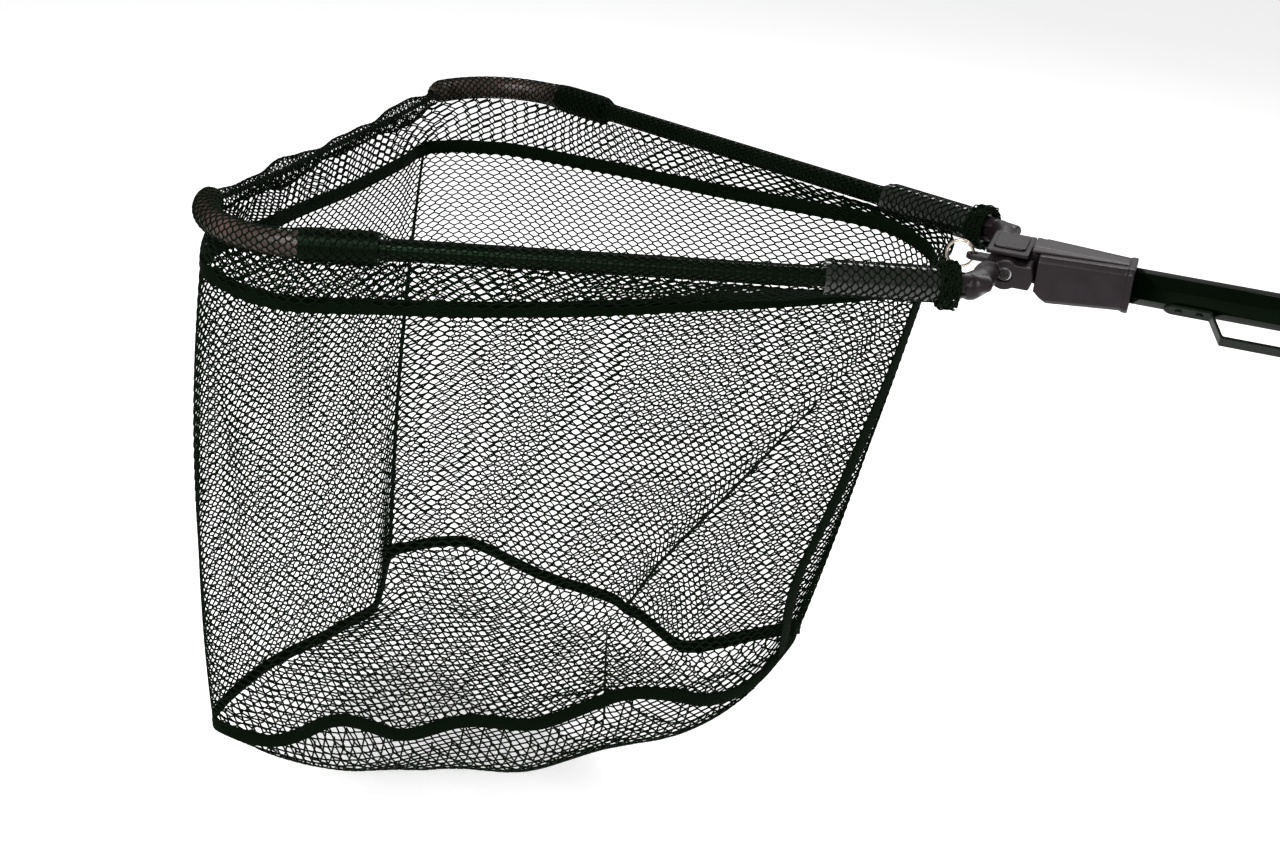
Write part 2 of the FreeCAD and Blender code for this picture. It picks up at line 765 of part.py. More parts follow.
def make_lock_housing():
    front = bevelled_section(
        size("housing_front"), size("housing_front_half"), size("housing_front_top"),
        size("housing_front_bottom"), size("housing_bevel"),
    )
    rear = bevelled_section(
        size("housing_rear"), size("housing_rear_half"), size("housing_rear_top"),
        size("housing_rear_bottom"), size("housing_bevel"),
    )
    shell = feature("housing_shell", Part.makeLoft([front, rear], True, True))
    rim_start = size("housing_rear") - size("rim_length")
    proud = size("rim_proud")
    rims = [
        bevelled_section(
            x, size("housing_rear_half") + proud + 0.6, size("housing_rear_top") + 0.6,
            size("housing_rear_bottom") + proud, size("housing_bevel"),
        )
        for x in (rim_start, size("housing_rear"))
    ]
    rim = feature("housing_rim", Part.makeLoft(rims, True, True))
    outside = join("housing_outside", shell, rim)
    room = box(
        "housing_room", "housing_front - 10", "wall_front",
        "0 - base_half - 0.6", "base_half + 0.6", "0 - 15.6", "14.6",
    )
    bore = octagon("housing_bore", "outer_flats + 4 * sliding_gap", "0", "housing_rear + 1")
    spring_room = rod("spring_room", "x", "spring_cavity_radius", "wall_rear", "rear_wall")
    chin_cut = feature("housing_chin_cut", chin_wedge())
    keep(
        "lock_housing",
        cut("lock_housing_shape", outside, room, bore, spring_room, chin_cut),
    )


def chin_wedge():
    """What the slanted front lower edge of the housing takes away."""
    front = size("housing_front") - 1
    low = -size("housing_front_bottom") - 1
    outline = Part.makePolygon([
        FreeCAD.Vector(front, -40, low),
        FreeCAD.Vector(front + 14, -40, low),
        FreeCAD.Vector(front, -40, low + 12),
        FreeCAD.Vector(front, -40, low),
    ])
    return Part.Face(outline).extrude(FreeCAD.Vector(0, 80, 0))


def make_lock_top_cover():
    """The lighter wedge-shaped cover on the housing, with a lip over the hinge block."""
    front_x = size("cover_front")
    rear_x = size("housing_rear") - size("rim_length") - 0.3
    slope = (size("housing_rear_top") - size("housing_front_top")) / (
        size("housing_rear") - size("housing_front")
    )
    sections = []
    for x, half, thick in (
        (front_x, size("cover_front_half"), size("cover_front_thick")),
        (rear_x, size("cover_rear_half"), size("cover_rear_thick")),
    ):
        floor = size("housing_front_top") + slope * (x - size("housing_front")) + 0.05
        corners = [
            (-half, floor), (-half, floor + 0.4 * thick), (-half * 0.62, floor + thick),
            (half * 0.62, floor + thick), (half, floor + 0.4 * thick), (half, floor),
        ]
        points = [FreeCAD.Vector(x, y, z) for y, z in corners]
        sections.append(Part.makePolygon(points + points[:1]))
    wedge = Part.makeLoft(sections, True, True)
    keep("lock_top_cover", feature("lock_top_cover_shape", wedge))


def make_spring_seat():
    disc = rod("seat_disc", "x", "spring_cavity_radius - 0.3", "spring_seat_at", "spring_seat_at + 3")
    bore = octagon("seat_bore", "outer_flats", "spring_seat_at - 1", "spring_seat_at + 4")
    keep("spring_seat", cut("spring_seat_shape", disc, bore))


def make_lock_spring():
    """The coil that pushes the housing forward against the knuckles."""
    wire = size("spring_wire")
    start = size("wall_rear") + wire + 0.1
    length = size("spring_seat_at") - size("wall_rear") - 2 * wire - 0.2
    coil = Part.makeHelix(size("spring_pitch"), length, size("spring_radius"))
    section = Part.Wire([
        Part.makeCircle(wire, FreeCAD.Vector(size("spring_radius"), 0, 0), Y_AXIS)
    ])
    spring = Part.Wire(coil.Edges).makePipeShell([section], True, True)
    spring.Placement = FreeCAD.Placement(FreeCAD.Vector(start, 0, 0), ALONG_X)
    keep("lock_spring", feature("lock_spring_shape", Part.makeCompound([spring])))


# ---------------------------------------------------------------- bag and cord


def blunt_triangle(back, narrow, front, near, far, bend, bend_near, bend_far):
    """Eight corners of a triangle with blunt front corners and bowed sides, as (x, y) pairs."""
    blunt = size("bag_blunt")
    near_half = [
        (-back, -narrow),
        (-bend, -bend_near),
        (-front + 0.7 * blunt, -near),
        (-front, -near + blunt),
    ]
    far_half = [
        (-front, far - blunt),
        (-front + 0.7 * blunt, far),
        (-bend, bend_far),
        (-back, narrow),
    ]
    return near_half + far_half


def bag_ring(share, outwards):
    """The bag's outline at a share of the way from its top (0) to its floor (1)."""
    wide = size("bag_front_half")
    top = blunt_triangle(
        size("bag_back"), size("bag_back_half"), size("bag_front"), wide, wide,
        size("bag_bend_x"), size("bag_bend_half"), size("bag_bend_half"),
    )
    floor = blunt_triangle(
        size("floor_back"), size("floor_back_half"), size("floor_front"),
        size("floor_near_half"), size("floor_far_half"),
        size("floor_bend_x"), size("floor_bend_near"), size("floor_bend_far"),
    )
    steep = (size("bag_floor_front") - size("bag_floor")) / (size("floor_front") - size("floor_back"))
    fall = size("bag_top") + share * (size("bag_floor") - size("bag_top"))
    points = []
    for (x0, y0), (x1, y1) in zip(moved_out(top, outwards), moved_out(floor, outwards)):
        x = x0 + share * (x1 - x0)
        z = -fall + share * steep * (x + size("floor_back"))
        points.append(FreeCAD.Vector(x, y0 + share * (y1 - y0), z))
    return points


def moved_out(corners, distance):
    """A convex outline with every side moved outwards, or inwards if distance is negative."""
    count = len(corners)
    lines = []
    for i in range(count):
        x0, y0 = corners[i]
        x1, y1 = corners[(i + 1) % count]
        length = math.hypot(x1 - x0, y1 - y0)
        nx, ny = -(y1 - y0) / length, (x1 - x0) / length
        lines.append((nx, ny, nx * x0 + ny * y0 + distance))
    moved = []
    for i in range(count):
        a1, b1, c1 = lines[i - 1]
        a2, b2, c2 = lines[i]
        det = a1 * b2 - a2 * b1
        moved.append(((c1 * b2 - c2 * b1) / det, (a1 * c2 - a2 * c1) / det))
    return moved


def wall(side, high, low, near_gap, thick):
    """One flat stretch of the bag's wall between two shares of its height."""
    sections = []
    for share in (high, low):
        inner = bag_ring(share, near_gap)
        outer = bag_ring(share, near_gap + thick)
        after = (side + 1) % len(inner)
        loop = [inner[side], inner[after], outer[after], outer[side]]
        sections.append(Part.makePolygon(loop + loop[:1]))
    return Part.makeLoft(sections, True, True)


BAG_PANELS = (
    "bag_near_side",
    "bag_near_bend",
    "bag_near_corner",
    "bag_front",
    "bag_far_corner",
    "bag_far_bend",
    "bag_far_side",
    "bag_back",
)


def make_bag_panels():
    """The side panels of netting, each a thin wall that leans in towards the floor."""
    thick = size("bag_wall")
    for side, label in enumerate(BAG_PANELS):
        panel = wall(side, 0.0, 1.0, -thick, thick)
        keep(label, feature(label + "_shape", panel))


def make_bag_floor():
    """The floor panel, which sags below the floor tape like a shallow tray."""
    thick = size("bag_wall")
    outer = floor_tray(size("bag_sag"), 0.0)
    inner = floor_tray(size("bag_sag") - thick, -thick)
    keep("bag_floor", feature("bag_floor_shape", outer.cut(inner)))


def floor_tray(sag, outwards):
    rim = bag_ring(1.0, outwards)
    middle = FreeCAD.Vector(0, 0, 0)
    for point in rim:
        middle = middle + point * (1 / len(rim))
    sections = []
    for scale, drop in ((1.0, 0.0), (0.93, 0.45), (0.76, 0.85), (0.5, 1.0)):
        points = [middle + (p - middle) * scale - Z_AXIS * (drop * sag) for p in rim]
        sections.append(Part.makePolygon(points + points[:1]))
    return Part.makeLoft(sections, True, True)


def make_tape_loop(label, share, share_half):
    """A flat binding tape sewn round the outside of the bag."""
    gap, thick = size("tape_gap"), size("tape_thick")
    high, low = share - share_half, share + share_half
    outer = loop_loft(high, low, gap + thick)
    inner = loop_loft(high - 0.002, low + 0.002, gap)
    keep(label, feature(label + "_shape", outer.cut(inner)))


def loop_loft(high, low, outwards):
    """The space inside the bag's outline between two shares of its height."""
    sections = []
    for share in (high, low):
        points = bag_ring(share, outwards)
        sections.append(Part.makePolygon(points + points[:1]))
    return Part.makeLoft(sections, True, True)


def make_back_seam_tape():
    """The upright tape down the bag's narrow back."""
    half = size("tape_width") / 2
    strip = wall(7, size("upper_tape_share") + 0.025, 0.955, size("tape_gap"), size("tape_thick"))
    band = Part.makeBox(600, 2 * half, 600, FreeCAD.Vector(-500, -half, -500))
    keep("back_seam_tape", feature("back_seam_tape_shape", strip.common(band)))


def make_front_cord():
    """The cord between the two tips, which lets the arms close together."""
    place, heading = elbow_end()
    turn = FreeCAD.Rotation(Z_AXIS, size("arm_angle"))
    start = turn.multVec(place + heading * (size("cap_length") - 4))
    start = start + FreeCAD.Vector(-size("root_x"), -size("root_y"), 0)
    length = -2 * start.y
    bar = Part.makeCylinder(size("cord_radius"), length, start, Y_AXIS)
    keep("front_cord", feature("front_cord_shape", bar))


# ---------------------------------------------------------------- build and write

make_outer_tube()
make_inner_tube()
make_inner_tube_plug()
make_guide_bush()
make_tube_collar()
make_release_button()
make_grip()
make_butt_cap()
make_belt_clip()
make_clip_rivets()
make_hinge_block()
make_top_panel()
make_pivot_screws()
make_pivot_washers()
make_ring()
make_knuckle()
make_arm_rivets()
make_arm_root()
make_root_sleeve()
make_arm_tube()
make_tip_ferrule()
make_tip_elbow()
make_tip_cap()
make_hem()
make_lock_housing()
make_lock_top_cover()
make_spring_seat()
make_lock_spring()
make_bag_panels()
make_bag_floor()
make_tape_loop("upper_tape", size("upper_tape_share"), 0.0125)
make_tape_loop("floor_tape", 0.985, 0.0125)
make_back_seam_tape()
make_front_cord()

doc.recompute()

for item in doc.Objects:
    if "Invalid" in item.State or "Error" in item.State:
        raise RuntimeError(f"{item.Label} did not compute: {item.State}")
for label, item in nodes.items():
    shape = item.Shape
    if shape.isNull() or not shape.isValid() or not shape.Solids:
        raise RuntimeError(f"{label} has no valid solid")

for label, item in nodes.items():
    item.Shape.exportStep(f"parts/{label}.step")
    bounds = item.Shape.BoundBox
    print(
        f"{label}: {len(item.Shape.Solids)} solid, {item.Shape.Volume / 1000:.2f} cm3, "
        f"x {bounds.XMin:.1f} to {bounds.XMax:.1f}, y {bounds.YMin:.1f} to {bounds.YMax:.1f}, "
        f"z {bounds.ZMin:.1f} to {bounds.ZMax:.1f}"
    )
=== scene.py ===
"""Looks of a folding triangular landing net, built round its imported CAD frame.

Metres, in the row frame: the origin is the middle of the hand grip and the head's pivot
is at x = PIVOT. Points of the head are written in millimetres from the pivot.
"""
import json
import math

import bpy
import bmesh
import numpy as np
from mathutils import Matrix, Vector

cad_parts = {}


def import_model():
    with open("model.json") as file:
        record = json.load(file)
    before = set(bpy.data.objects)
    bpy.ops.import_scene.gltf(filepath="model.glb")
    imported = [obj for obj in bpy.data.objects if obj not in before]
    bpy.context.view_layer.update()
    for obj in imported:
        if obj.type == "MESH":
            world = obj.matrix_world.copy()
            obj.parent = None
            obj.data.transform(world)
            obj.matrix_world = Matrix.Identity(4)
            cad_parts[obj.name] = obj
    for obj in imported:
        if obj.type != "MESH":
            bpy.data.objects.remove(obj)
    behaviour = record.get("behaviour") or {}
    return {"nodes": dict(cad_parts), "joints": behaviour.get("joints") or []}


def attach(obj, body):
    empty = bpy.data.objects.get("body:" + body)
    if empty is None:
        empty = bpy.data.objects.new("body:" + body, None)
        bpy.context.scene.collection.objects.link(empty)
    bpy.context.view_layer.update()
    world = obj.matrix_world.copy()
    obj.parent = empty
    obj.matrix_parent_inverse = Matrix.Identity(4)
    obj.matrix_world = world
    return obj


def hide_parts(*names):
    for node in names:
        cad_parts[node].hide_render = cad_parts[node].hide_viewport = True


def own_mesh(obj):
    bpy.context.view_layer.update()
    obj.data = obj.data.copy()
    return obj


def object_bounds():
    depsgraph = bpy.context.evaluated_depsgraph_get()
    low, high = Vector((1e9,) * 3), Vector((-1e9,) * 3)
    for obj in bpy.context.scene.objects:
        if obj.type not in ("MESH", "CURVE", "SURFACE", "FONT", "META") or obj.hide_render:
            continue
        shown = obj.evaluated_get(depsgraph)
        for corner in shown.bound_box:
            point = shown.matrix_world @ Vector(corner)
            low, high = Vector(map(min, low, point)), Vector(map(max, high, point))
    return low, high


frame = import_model()
cad_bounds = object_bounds()

PIVOT = next(j for j in frame["joints"] if j["name"] == "head_fold")["pos_m"][0]
UP = np.array([0.0, 0.0, 1.0])
SIDES = ((-1, "near"), (1, "far"))


def world(points):
    """Millimetres from the pivot to metres in the row frame."""
    return np.asarray(points, float) / 1000.0 + np.array([PIVOT, 0.0, 0.0])


def sided(points, side):
    """Points or directions of the near side, mirrored when side is the far one."""
    return points * np.array([1.0, -side, 1.0])


def unit(vectors):
    """The vectors scaled to length one along their last axis."""
    return vectors / np.maximum(np.linalg.norm(vectors, axis=-1, keepdims=True), 1e-9)


def bell(x, at, width):
    """A smooth hump of height one round a place."""
    return np.exp(-(((x - at) / width) ** 2))


def rise(x):
    """A soft step from 0 to 1 round x = 0."""
    return 1 / (1 + np.exp(-x))


# ---------------------------------------------------------------- node materials


class Mat:
    """A small helper for building one Principled material from nodes."""

    def __init__(self, name):
        self.mat = bpy.data.materials.new(name)
        self.mat.use_nodes = True
        self.nodes = self.mat.node_tree.nodes
        self.links = self.mat.node_tree.links
        self.bsdf = self.nodes["Principled BSDF"]

    def add(self, kind, **inputs):
        """A new node, with its input sockets or its own settings given by name."""
        node = self.nodes.new(kind)
        for key, value in inputs.items():
            if key in node.inputs:
                node.inputs[key].default_value = value
            else:
                setattr(node, key, value)
        return node

    def link(self, a, b):
        """Joins an output to an input."""
        self.links.new(a, b)

    def place(self, scale=(1, 1, 1), kind="Object"):
        """Object or UV coordinates, stretched along each axis."""
        coord = self.add("ShaderNodeTexCoord")
        mapping = self.add("ShaderNodeMapping")
        mapping.inputs["Scale"].default_value = scale
        self.link(coord.outputs[kind], mapping.inputs["Vector"])
        return mapping.outputs["Vector"]

    def noise(self, vector, scale, detail, rough):
        """Cloudy noise over the given coordinates."""
        node = self.add("ShaderNodeTexNoise", Scale=scale, Detail=detail, Roughness=rough)
        self.link(vector, node.inputs["Vector"])
        return node.outputs["Fac"]

    def ramp(self, fac, stops):
        """Colours laid along a value."""
        node = self.add("ShaderNodeValToRGB")
        ramp = node.color_ramp
        while len(ramp.elements) < len(stops):
            ramp.elements.new(0.5)
        for element, (place, colour) in zip(ramp.elements, stops):
            element.position = place
            element.color = (*colour, 1.0)
        self.link(fac, node.inputs["Fac"])
        return node.outputs["Color"]

    def range(self, fac, low, high):
        """A value from 0 to 1 stretched between low and high."""
        node = self.add("ShaderNodeMapRange")
        node.inputs["To Min"].default_value = low
        node.inputs["To Max"].default_value = high
        self.link(fac, node.inputs["Value"])
        return node.outputs["Result"]

    def bump(self, height, strength, distance, under=None):
        """Surface relief from a height, laid over another relief if there is one."""
        node = self.add("ShaderNodeBump", Strength=strength, Distance=distance)
        self.link(height, node.inputs["Height"])
        if under is not None:
            self.link(under, node.inputs["Normal"])
        self.link(node.outputs["Normal"], self.bsdf.inputs["Normal"])
        return node.outputs["Normal"]

    def arithmetic(self, operation, a, b):
        """Two values added or multiplied."""
        node = self.add("ShaderNodeMath", operation=operation)
        self.link(a, node.inputs[0])
        self.link(b, node.inputs[1])
        return node.outputs[0]

    def wave(self, vector, bands, scale, distortion, detail):
        """Bands of waves across the given direction."""
        node = self.add("ShaderNodeTexWave", Scale=scale, Distortion=distortion, Detail=detail)
        node.bands_direction = bands
        self.link(vector, node.inputs["Vector"])
        return node.outputs["Fac"]

    def set(self, **values):
        """Plain values of the Principled shader, with _ for the spaces in their names."""
        for key, value in values.items():
            self.bsdf.inputs[key.replace("_", " ")].default_value = value


# The black finishes of the photograph reflect with a faint green cast.
GREEN_CAST = (0.55, 1.0, 0.55, 1.0)


def moulded(name, dark, light, rough, grain=1.0, shine=0.26):
    """Injection-moulded plastic: a fine spark-eroded grain with soft handling marks, except on the
    elbows, where the lighter brown patches are partly their own brown and partly painted
    highlight.
    """
    m = Mat(name)
    place = m.place()
    cloud = m.noise(place, 38.0, 5.0, 0.6)
    m.link(m.ramp(cloud, [(0.3, dark), (0.72, light)]), m.bsdf.inputs["Base Color"])
    fine = m.noise(place, 2600.0, 2.0, 0.5)
    broad = m.noise(place, 120.0, 4.0, 0.6)
    m.link(m.range(broad, rough - 0.08, rough + 0.1), m.bsdf.inputs["Roughness"])
    under = m.bump(broad, 0.06, 0.0006)
    m.bump(fine, 0.35 * grain, 0.00012, under)
    m.set(Specular_IOR_Level=shine)
    return m.mat


def gloss_paint(name, colour, tint, rough, along=(3.0, 400.0, 400.0), shine=0.07):
    """Black enamel on an extruded tube: faint draw lines under a clear gloss."""
    m = Mat(name)
    place = m.place(along)
    lines = m.noise(place, 3.0, 3.0, 0.6)
    still = m.place()
    cloud = m.noise(still, 14.0, 3.0, 0.5)
    m.link(m.ramp(cloud, [(0.35, colour), (0.75, tint)]), m.bsdf.inputs["Base Color"])
    m.link(m.range(lines, rough - 0.05, rough + 0.09), m.bsdf.inputs["Roughness"])
    orange = m.noise(still, 900.0, 2.0, 0.4)
    under = m.bump(lines, 0.06, 0.0002)
    m.bump(orange, 0.05, 0.00008, under)
    m.set(Specular_IOR_Level=shine, Specular_Tint=GREEN_CAST)
    return m.mat


def metal(name, dark, light, rough, along=(1, 1, 1), scale=300.0):
    """Bare metal with fine working marks."""
    m = Mat(name)
    place = m.place(along)
    lines = m.noise(place, scale, 4.0, 0.6)
    m.link(m.ramp(lines, [(0.3, dark), (0.75, light)]), m.bsdf.inputs["Base Color"])
    m.link(m.range(lines, rough - 0.07, rough + 0.12), m.bsdf.inputs["Roughness"])
    m.bump(lines, 0.12, 0.0001)
    m.set(Metallic=1.0)
    return m.mat


def twine(name, dark, light, rough):
    """Twisted black polyester twine with a faint green cast."""
    m = Mat(name)
    place = m.place()
    cloud = m.noise(place, 30.0, 4.0, 0.6)
    m.link(m.ramp(cloud, [(0.3, dark), (0.8, light)]), m.bsdf.inputs["Base Color"])
    twist = m.wave(place, "DIAGONAL", 520.0, 2.0, 2.0)
    m.link(m.range(twist, rough - 0.08, rough + 0.1), m.bsdf.inputs["Roughness"])
    m.bump(twist, 0.35, 0.0002)
    m.set(Specular_IOR_Level=0.07, Specular_Tint=GREEN_CAST)
    return m.mat


def woven_tape(name, dark, light):
    """Ribbed woven binding tape: fine ribs across it and a plain weave along it."""
    m = Mat(name)
    place = m.place((320.0, 6.0, 1.0), "UV")
    across = m.wave(place, "X", 1.0, 0.4, 1.0)
    along = m.wave(place, "Y", 1.0, 0.6, 1.0)
    weave = m.arithmetic("MULTIPLY", across, along)
    fuzz = m.noise(m.place(), 700.0, 3.0, 0.6)
    m.link(m.ramp(fuzz, [(0.3, dark), (0.75, light)]), m.bsdf.inputs["Base Color"])
    m.link(m.range(fuzz, 0.78, 0.95), m.bsdf.inputs["Roughness"])
    m.bump(m.arithmetic("ADD", weave, fuzz), 0.5, 0.0003)
    m.set(Specular_IOR_Level=0.05, Specular_Tint=GREEN_CAST)
    return m.mat


def soft_grip(name):
    """Ribbed soft rubber of the hand grip: a diamond knurl and a dull skin."""
    m = Mat(name)
    place = m.place()
    knurl = m.add("ShaderNodeTexVoronoi", Scale=330.0)
    m.link(place, knurl.inputs["Vector"])
    dust = m.noise(place, 60.0, 5.0, 0.6)
    m.link(
        m.ramp(dust, [(0.3, (0.012, 0.012, 0.013)), (0.8, (0.03, 0.03, 0.031))]),
        m.bsdf.inputs["Base Color"],
    )
    m.link(m.range(dust, 0.68, 0.85), m.bsdf.inputs["Roughness"])
    m.bump(knurl.outputs["Distance"], 0.6, 0.0007)
    return m.mat


GREY = moulded(
    "moulded_grey", (0.0055, 0.0036, 0.0045), (0.0130, 0.0088, 0.0108), 0.36, shine=0.155
)
COVER = moulded("cover_grey", (0.0115, 0.0078, 0.0096), (0.0215, 0.0150, 0.0180), 0.42, 0.8, 0.20)
BLACK = moulded("moulded_black", (0.006, 0.006, 0.006), (0.011, 0.010, 0.011), 0.42)
SLEEVE = moulded(
    "sleeve_black", (0.0015, 0.0028, 0.0012), (0.0045, 0.0048, 0.0040), 0.20, 0.5, 0.50
)
FERRULE = gloss_paint(
    "ferrule_black", (0.0004, 0.0010, 0.0004), (0.0011, 0.0021, 0.0010), 0.34, shine=0.04
)
# The elbow's colour is partly its own dark brown and partly painted highlight: its lighter brown
# patches stand in for the pinkish sheen on its bend.
ELBOW = moulded("elbow_brown_and_painted_highlight", (0.005, 0.005, 0.0035), (0.070, 0.046, 0.038), 0.30, 0.6, 0.22)
TUBE = gloss_paint(
    "tube_black", (0.0006, 0.0014, 0.0006), (0.0012, 0.0026, 0.0012), 0.14, shine=0.035
)
ARM = gloss_paint("arm_black", (0.0006, 0.0014, 0.0006), (0.0019, 0.0032, 0.0018), 0.24)
CLIP = gloss_paint(
    "clip_black", (0.0012, 0.0024, 0.0012), (0.0040, 0.0062, 0.0040), 0.3, (60, 60, 60), 0.03
)
ALLOY = metal("inner_alloy", (0.12, 0.12, 0.13), (0.24, 0.24, 0.25), 0.34, (4, 300, 300), 4.0)
STEEL = metal("screw_steel", (0.006, 0.006, 0.006), (0.045, 0.043, 0.040), 0.26, (1, 1, 1), 420.0)
SPRING = metal("spring_steel", (0.3, 0.3, 0.3), (0.5, 0.5, 0.49), 0.3)
BRONZE = metal("ring_bronze", (0.26, 0.21, 0.16), (0.66, 0.58, 0.50), 0.24, (1, 1, 1), 260.0)
NET = twine("netting", (0.0004, 0.0013, 0.0004), (0.0011, 0.0031, 0.0010), 0.75)
HEM = twine("hem_netting", (0.0006, 0.0014, 0.0006), (0.0021, 0.0037, 0.0018), 0.7)
CORD = twine("cord_black", (0.004, 0.005, 0.004), (0.010, 0.011, 0.010), 0.7)
TAPE = woven_tape("tape_black", (0.0003, 0.0011, 0.0003), (0.0010, 0.0028, 0.0010))
RUBBER = soft_grip("grip_rubber")

CAD_LOOKS = {
    "outer_tube": TUBE, "inner_tube": ALLOY, "inner_tube_plug": BLACK, "guide_bush": BLACK,
    "tube_collar": BLACK, "release_button": COVER, "grip": RUBBER, "butt_cap": BLACK,
    "belt_clip": CLIP, "clip_rivets": CLIP, "hinge_block": GREY, "top_panel": GREY,
    "pivot_screws": STEEL, "pivot_washers": SPRING, "net_ring": BRONZE,
    "knuckle_near": GREY, "knuckle_far": GREY, "arm_rivets": SPRING,
    "lock_housing": GREY, "lock_top_cover": COVER, "spring_seat": BLACK, "lock_spring": SPRING,
}
for _, word in SIDES:
    CAD_LOOKS["arm_root_" + word] = GREY
    CAD_LOOKS["root_sleeve_" + word] = SLEEVE
    CAD_LOOKS["arm_tube_" + word] = ARM
    CAD_LOOKS["tip_ferrule_" + word] = FERRULE
    CAD_LOOKS["tip_elbow_" + word] = ELBOW
    CAD_LOOKS["tip_cap_" + word] = ELBOW

for node, look in CAD_LOOKS.items():
    mesh = frame["nodes"][node].data
    mesh.materials.clear()
    mesh.materials.append(look)


def piece(name, verts, faces, look, body, smooth=True, uvs=None):
    """A new mesh piece, in metres in the row frame, riding on a CAD body."""
    mesh = bpy.data.meshes.new(name)
    verts = np.asarray(verts, np.float32)
    faces = np.asarray(faces, np.int32)
    corners = faces.shape[1]
    mesh.vertices.add(len(verts))
    mesh.vertices.foreach_set("co", verts.ravel())
    mesh.loops.add(faces.size)
    mesh.loops.foreach_set("vertex_index", faces.ravel())
    mesh.polygons.add(len(faces))
    mesh.polygons.foreach_set("loop_start", np.arange(0, faces.size, corners, dtype=np.int32))
    mesh.polygons.foreach_set("loop_total", np.full(len(faces), corners, np.int32))
    mesh.update(calc_edges=True)
    mesh.validate()
    if uvs is not None:
        layer = mesh.uv_layers.new(name="UVMap")
        layer.data.foreach_set("uv", np.asarray(uvs, np.float32)[faces.ravel()].ravel())
    if smooth:
        mesh.polygons.foreach_set("use_smooth", np.ones(len(faces), bool))
    mesh.materials.append(look)
    item = bpy.data.objects.new(name, mesh)
    bpy.context.scene.collection.objects.link(item)
    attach(item, body)
    return item


def skin(rings, sides, closed=True):
    """Quads over rings of points laid one after another, joined end to end when closed."""
    faces = []
    for i in range(rings if closed else rings - 1):
        n = (i + 1) % rings
        for k in range(sides):
            m = (k + 1) % sides
            faces.append((i * sides + k, i * sides + m, n * sides + m, n * sides + k))
    return faces


# ---------------------------------------------------------------- the arms' centre lines

# The near arm: where it starts, the way it heads, and how its elbow turns at the far end.
ARM_ANGLE = math.radians(21.5)
ROOT = np.array([-20.0, -75.0, 0.0])
HEADING = np.array([-math.cos(ARM_ANGLE), -math.sin(ARM_ANGLE), 0.0])
SIDEWAYS = np.array([math.sin(ARM_ANGLE), -math.cos(ARM_ANGLE), 0.0])
STRAIGHT = 516.0
BEND = 85.0
TURN = math.radians(95.0)

# Places along it, in mm from its root, where its outside changes.
SLEEVE_END = 117.0
FERRULE_START = 453.0
ELBOW_START = 520.0
CAP_START = 656.0
ARM_END = STRAIGHT + BEND * TURN + 10


def arm_line(s, side=-1):
    """The arm's centre line at s mm from its root, straight and then round the elbow."""
    s = np.atleast_1d(np.asarray(s, float))
    straight = np.minimum(s, STRAIGHT)
    turn = np.clip((s - STRAIGHT) / BEND, 0.0, TURN)
    beyond = np.maximum(s - STRAIGHT - BEND * TURN, 0.0)
    along = straight + BEND * np.sin(turn) + beyond * math.cos(TURN)
    inward = BEND * (1 - np.cos(turn)) + beyond * math.sin(TURN)
    return sided(ROOT + along[:, None] * HEADING - inward[:, None] * SIDEWAYS, side)


# ---------------------------------------------------------------- moulded and drawn parts


def ball(bm, centre, radius):
    """A small sphere, in millimetres from the pivot, to be fused in by the remesh."""
    place = Matrix.Translation(Vector(world([centre])[0]))
    bmesh.ops.create_icosphere(bm, subdivisions=3, radius=radius / 1000.0, matrix=place)


def moulding(node, look, body, voxel=0.75, soften=8, balls=(), reshape=None):
    """A copy of a CAD part with its edges rounded off as a mould would leave them."""
    source = frame["nodes"][node]
    bm = bmesh.new()
    bm.from_mesh(source.data)
    bm.transform(source.matrix_world)
    bmesh.ops.remove_doubles(bm, verts=bm.verts, dist=2e-6)
    if reshape:
        reshape(bm)
    for centre, radius in balls:
        ball(bm, centre, radius)
    mesh = bpy.data.meshes.new(node + "_moulded")
    bm.to_mesh(mesh)
    bm.free()
    item = bpy.data.objects.new(node + "_moulded", mesh)
    bpy.context.scene.collection.objects.link(item)
    remesh = item.modifiers.new("remesh", "REMESH")
    remesh.mode = "VOXEL"
    remesh.voxel_size = voxel / 1000.0
    relax = item.modifiers.new("relax", "SMOOTH")
    relax.factor = 0.5
    relax.iterations = soften
    shown = item.evaluated_get(bpy.context.evaluated_depsgraph_get())
    final = bpy.data.meshes.new_from_object(shown)
    item.modifiers.clear()
    item.data = final
    final.materials.clear()
    final.materials.append(look)
    final.polygons.foreach_set("use_smooth", np.ones(len(final.polygons), bool))
    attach(item, body)
    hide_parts(node)


def neck(side):
    """The swelling neck between a knuckle's boss and its arm, as a row of balls."""
    path = np.array(
        [(-13, 30, 0), (-12.5, 39, 0.5), (-12.5, 50, 1), (-14.5, 62, 1), (-20, 74, 0)], float
    )
    radii = np.array([8.3, 9.2, 9.8, 10.4, 11.2])
    out = []
    for t in np.linspace(0, 4, 50):
        k = min(int(t), 3)
        f = t - k
        p = path[k] * (1 - f) + path[k + 1] * f
        out.append(((p[0], side * p[1], p[2]), radii[k] * (1 - f) + radii[k + 1] * f))
    return out


def taper(side):
    """Flattens and lifts the arm socket's inner end, so that it flows into the knuckle's neck."""
    start, heading = sided(ROOT, side), sided(HEADING, side)

    def reshape(bm):
        bmesh.ops.subdivide_edges(bm, edges=bm.edges, cuts=2, use_grid_fill=True)
        for vert in bm.verts:
            point = np.array(vert.co) * 1000.0 - np.array([PIVOT * 1000.0, 0.0, 0.0])
            f = min(max((12.0 - (point - start) @ heading) / 28.0, 0.0), 1.0)
            f = f * f * (3 - 2 * f) * min(max((abs(point[1]) - 50.0) / 10.0, 0.0), 1.0)
            vert.co.z = (point[2] * (1 - 0.4 * f) + 3.5 * f) / 1000.0

    return reshape


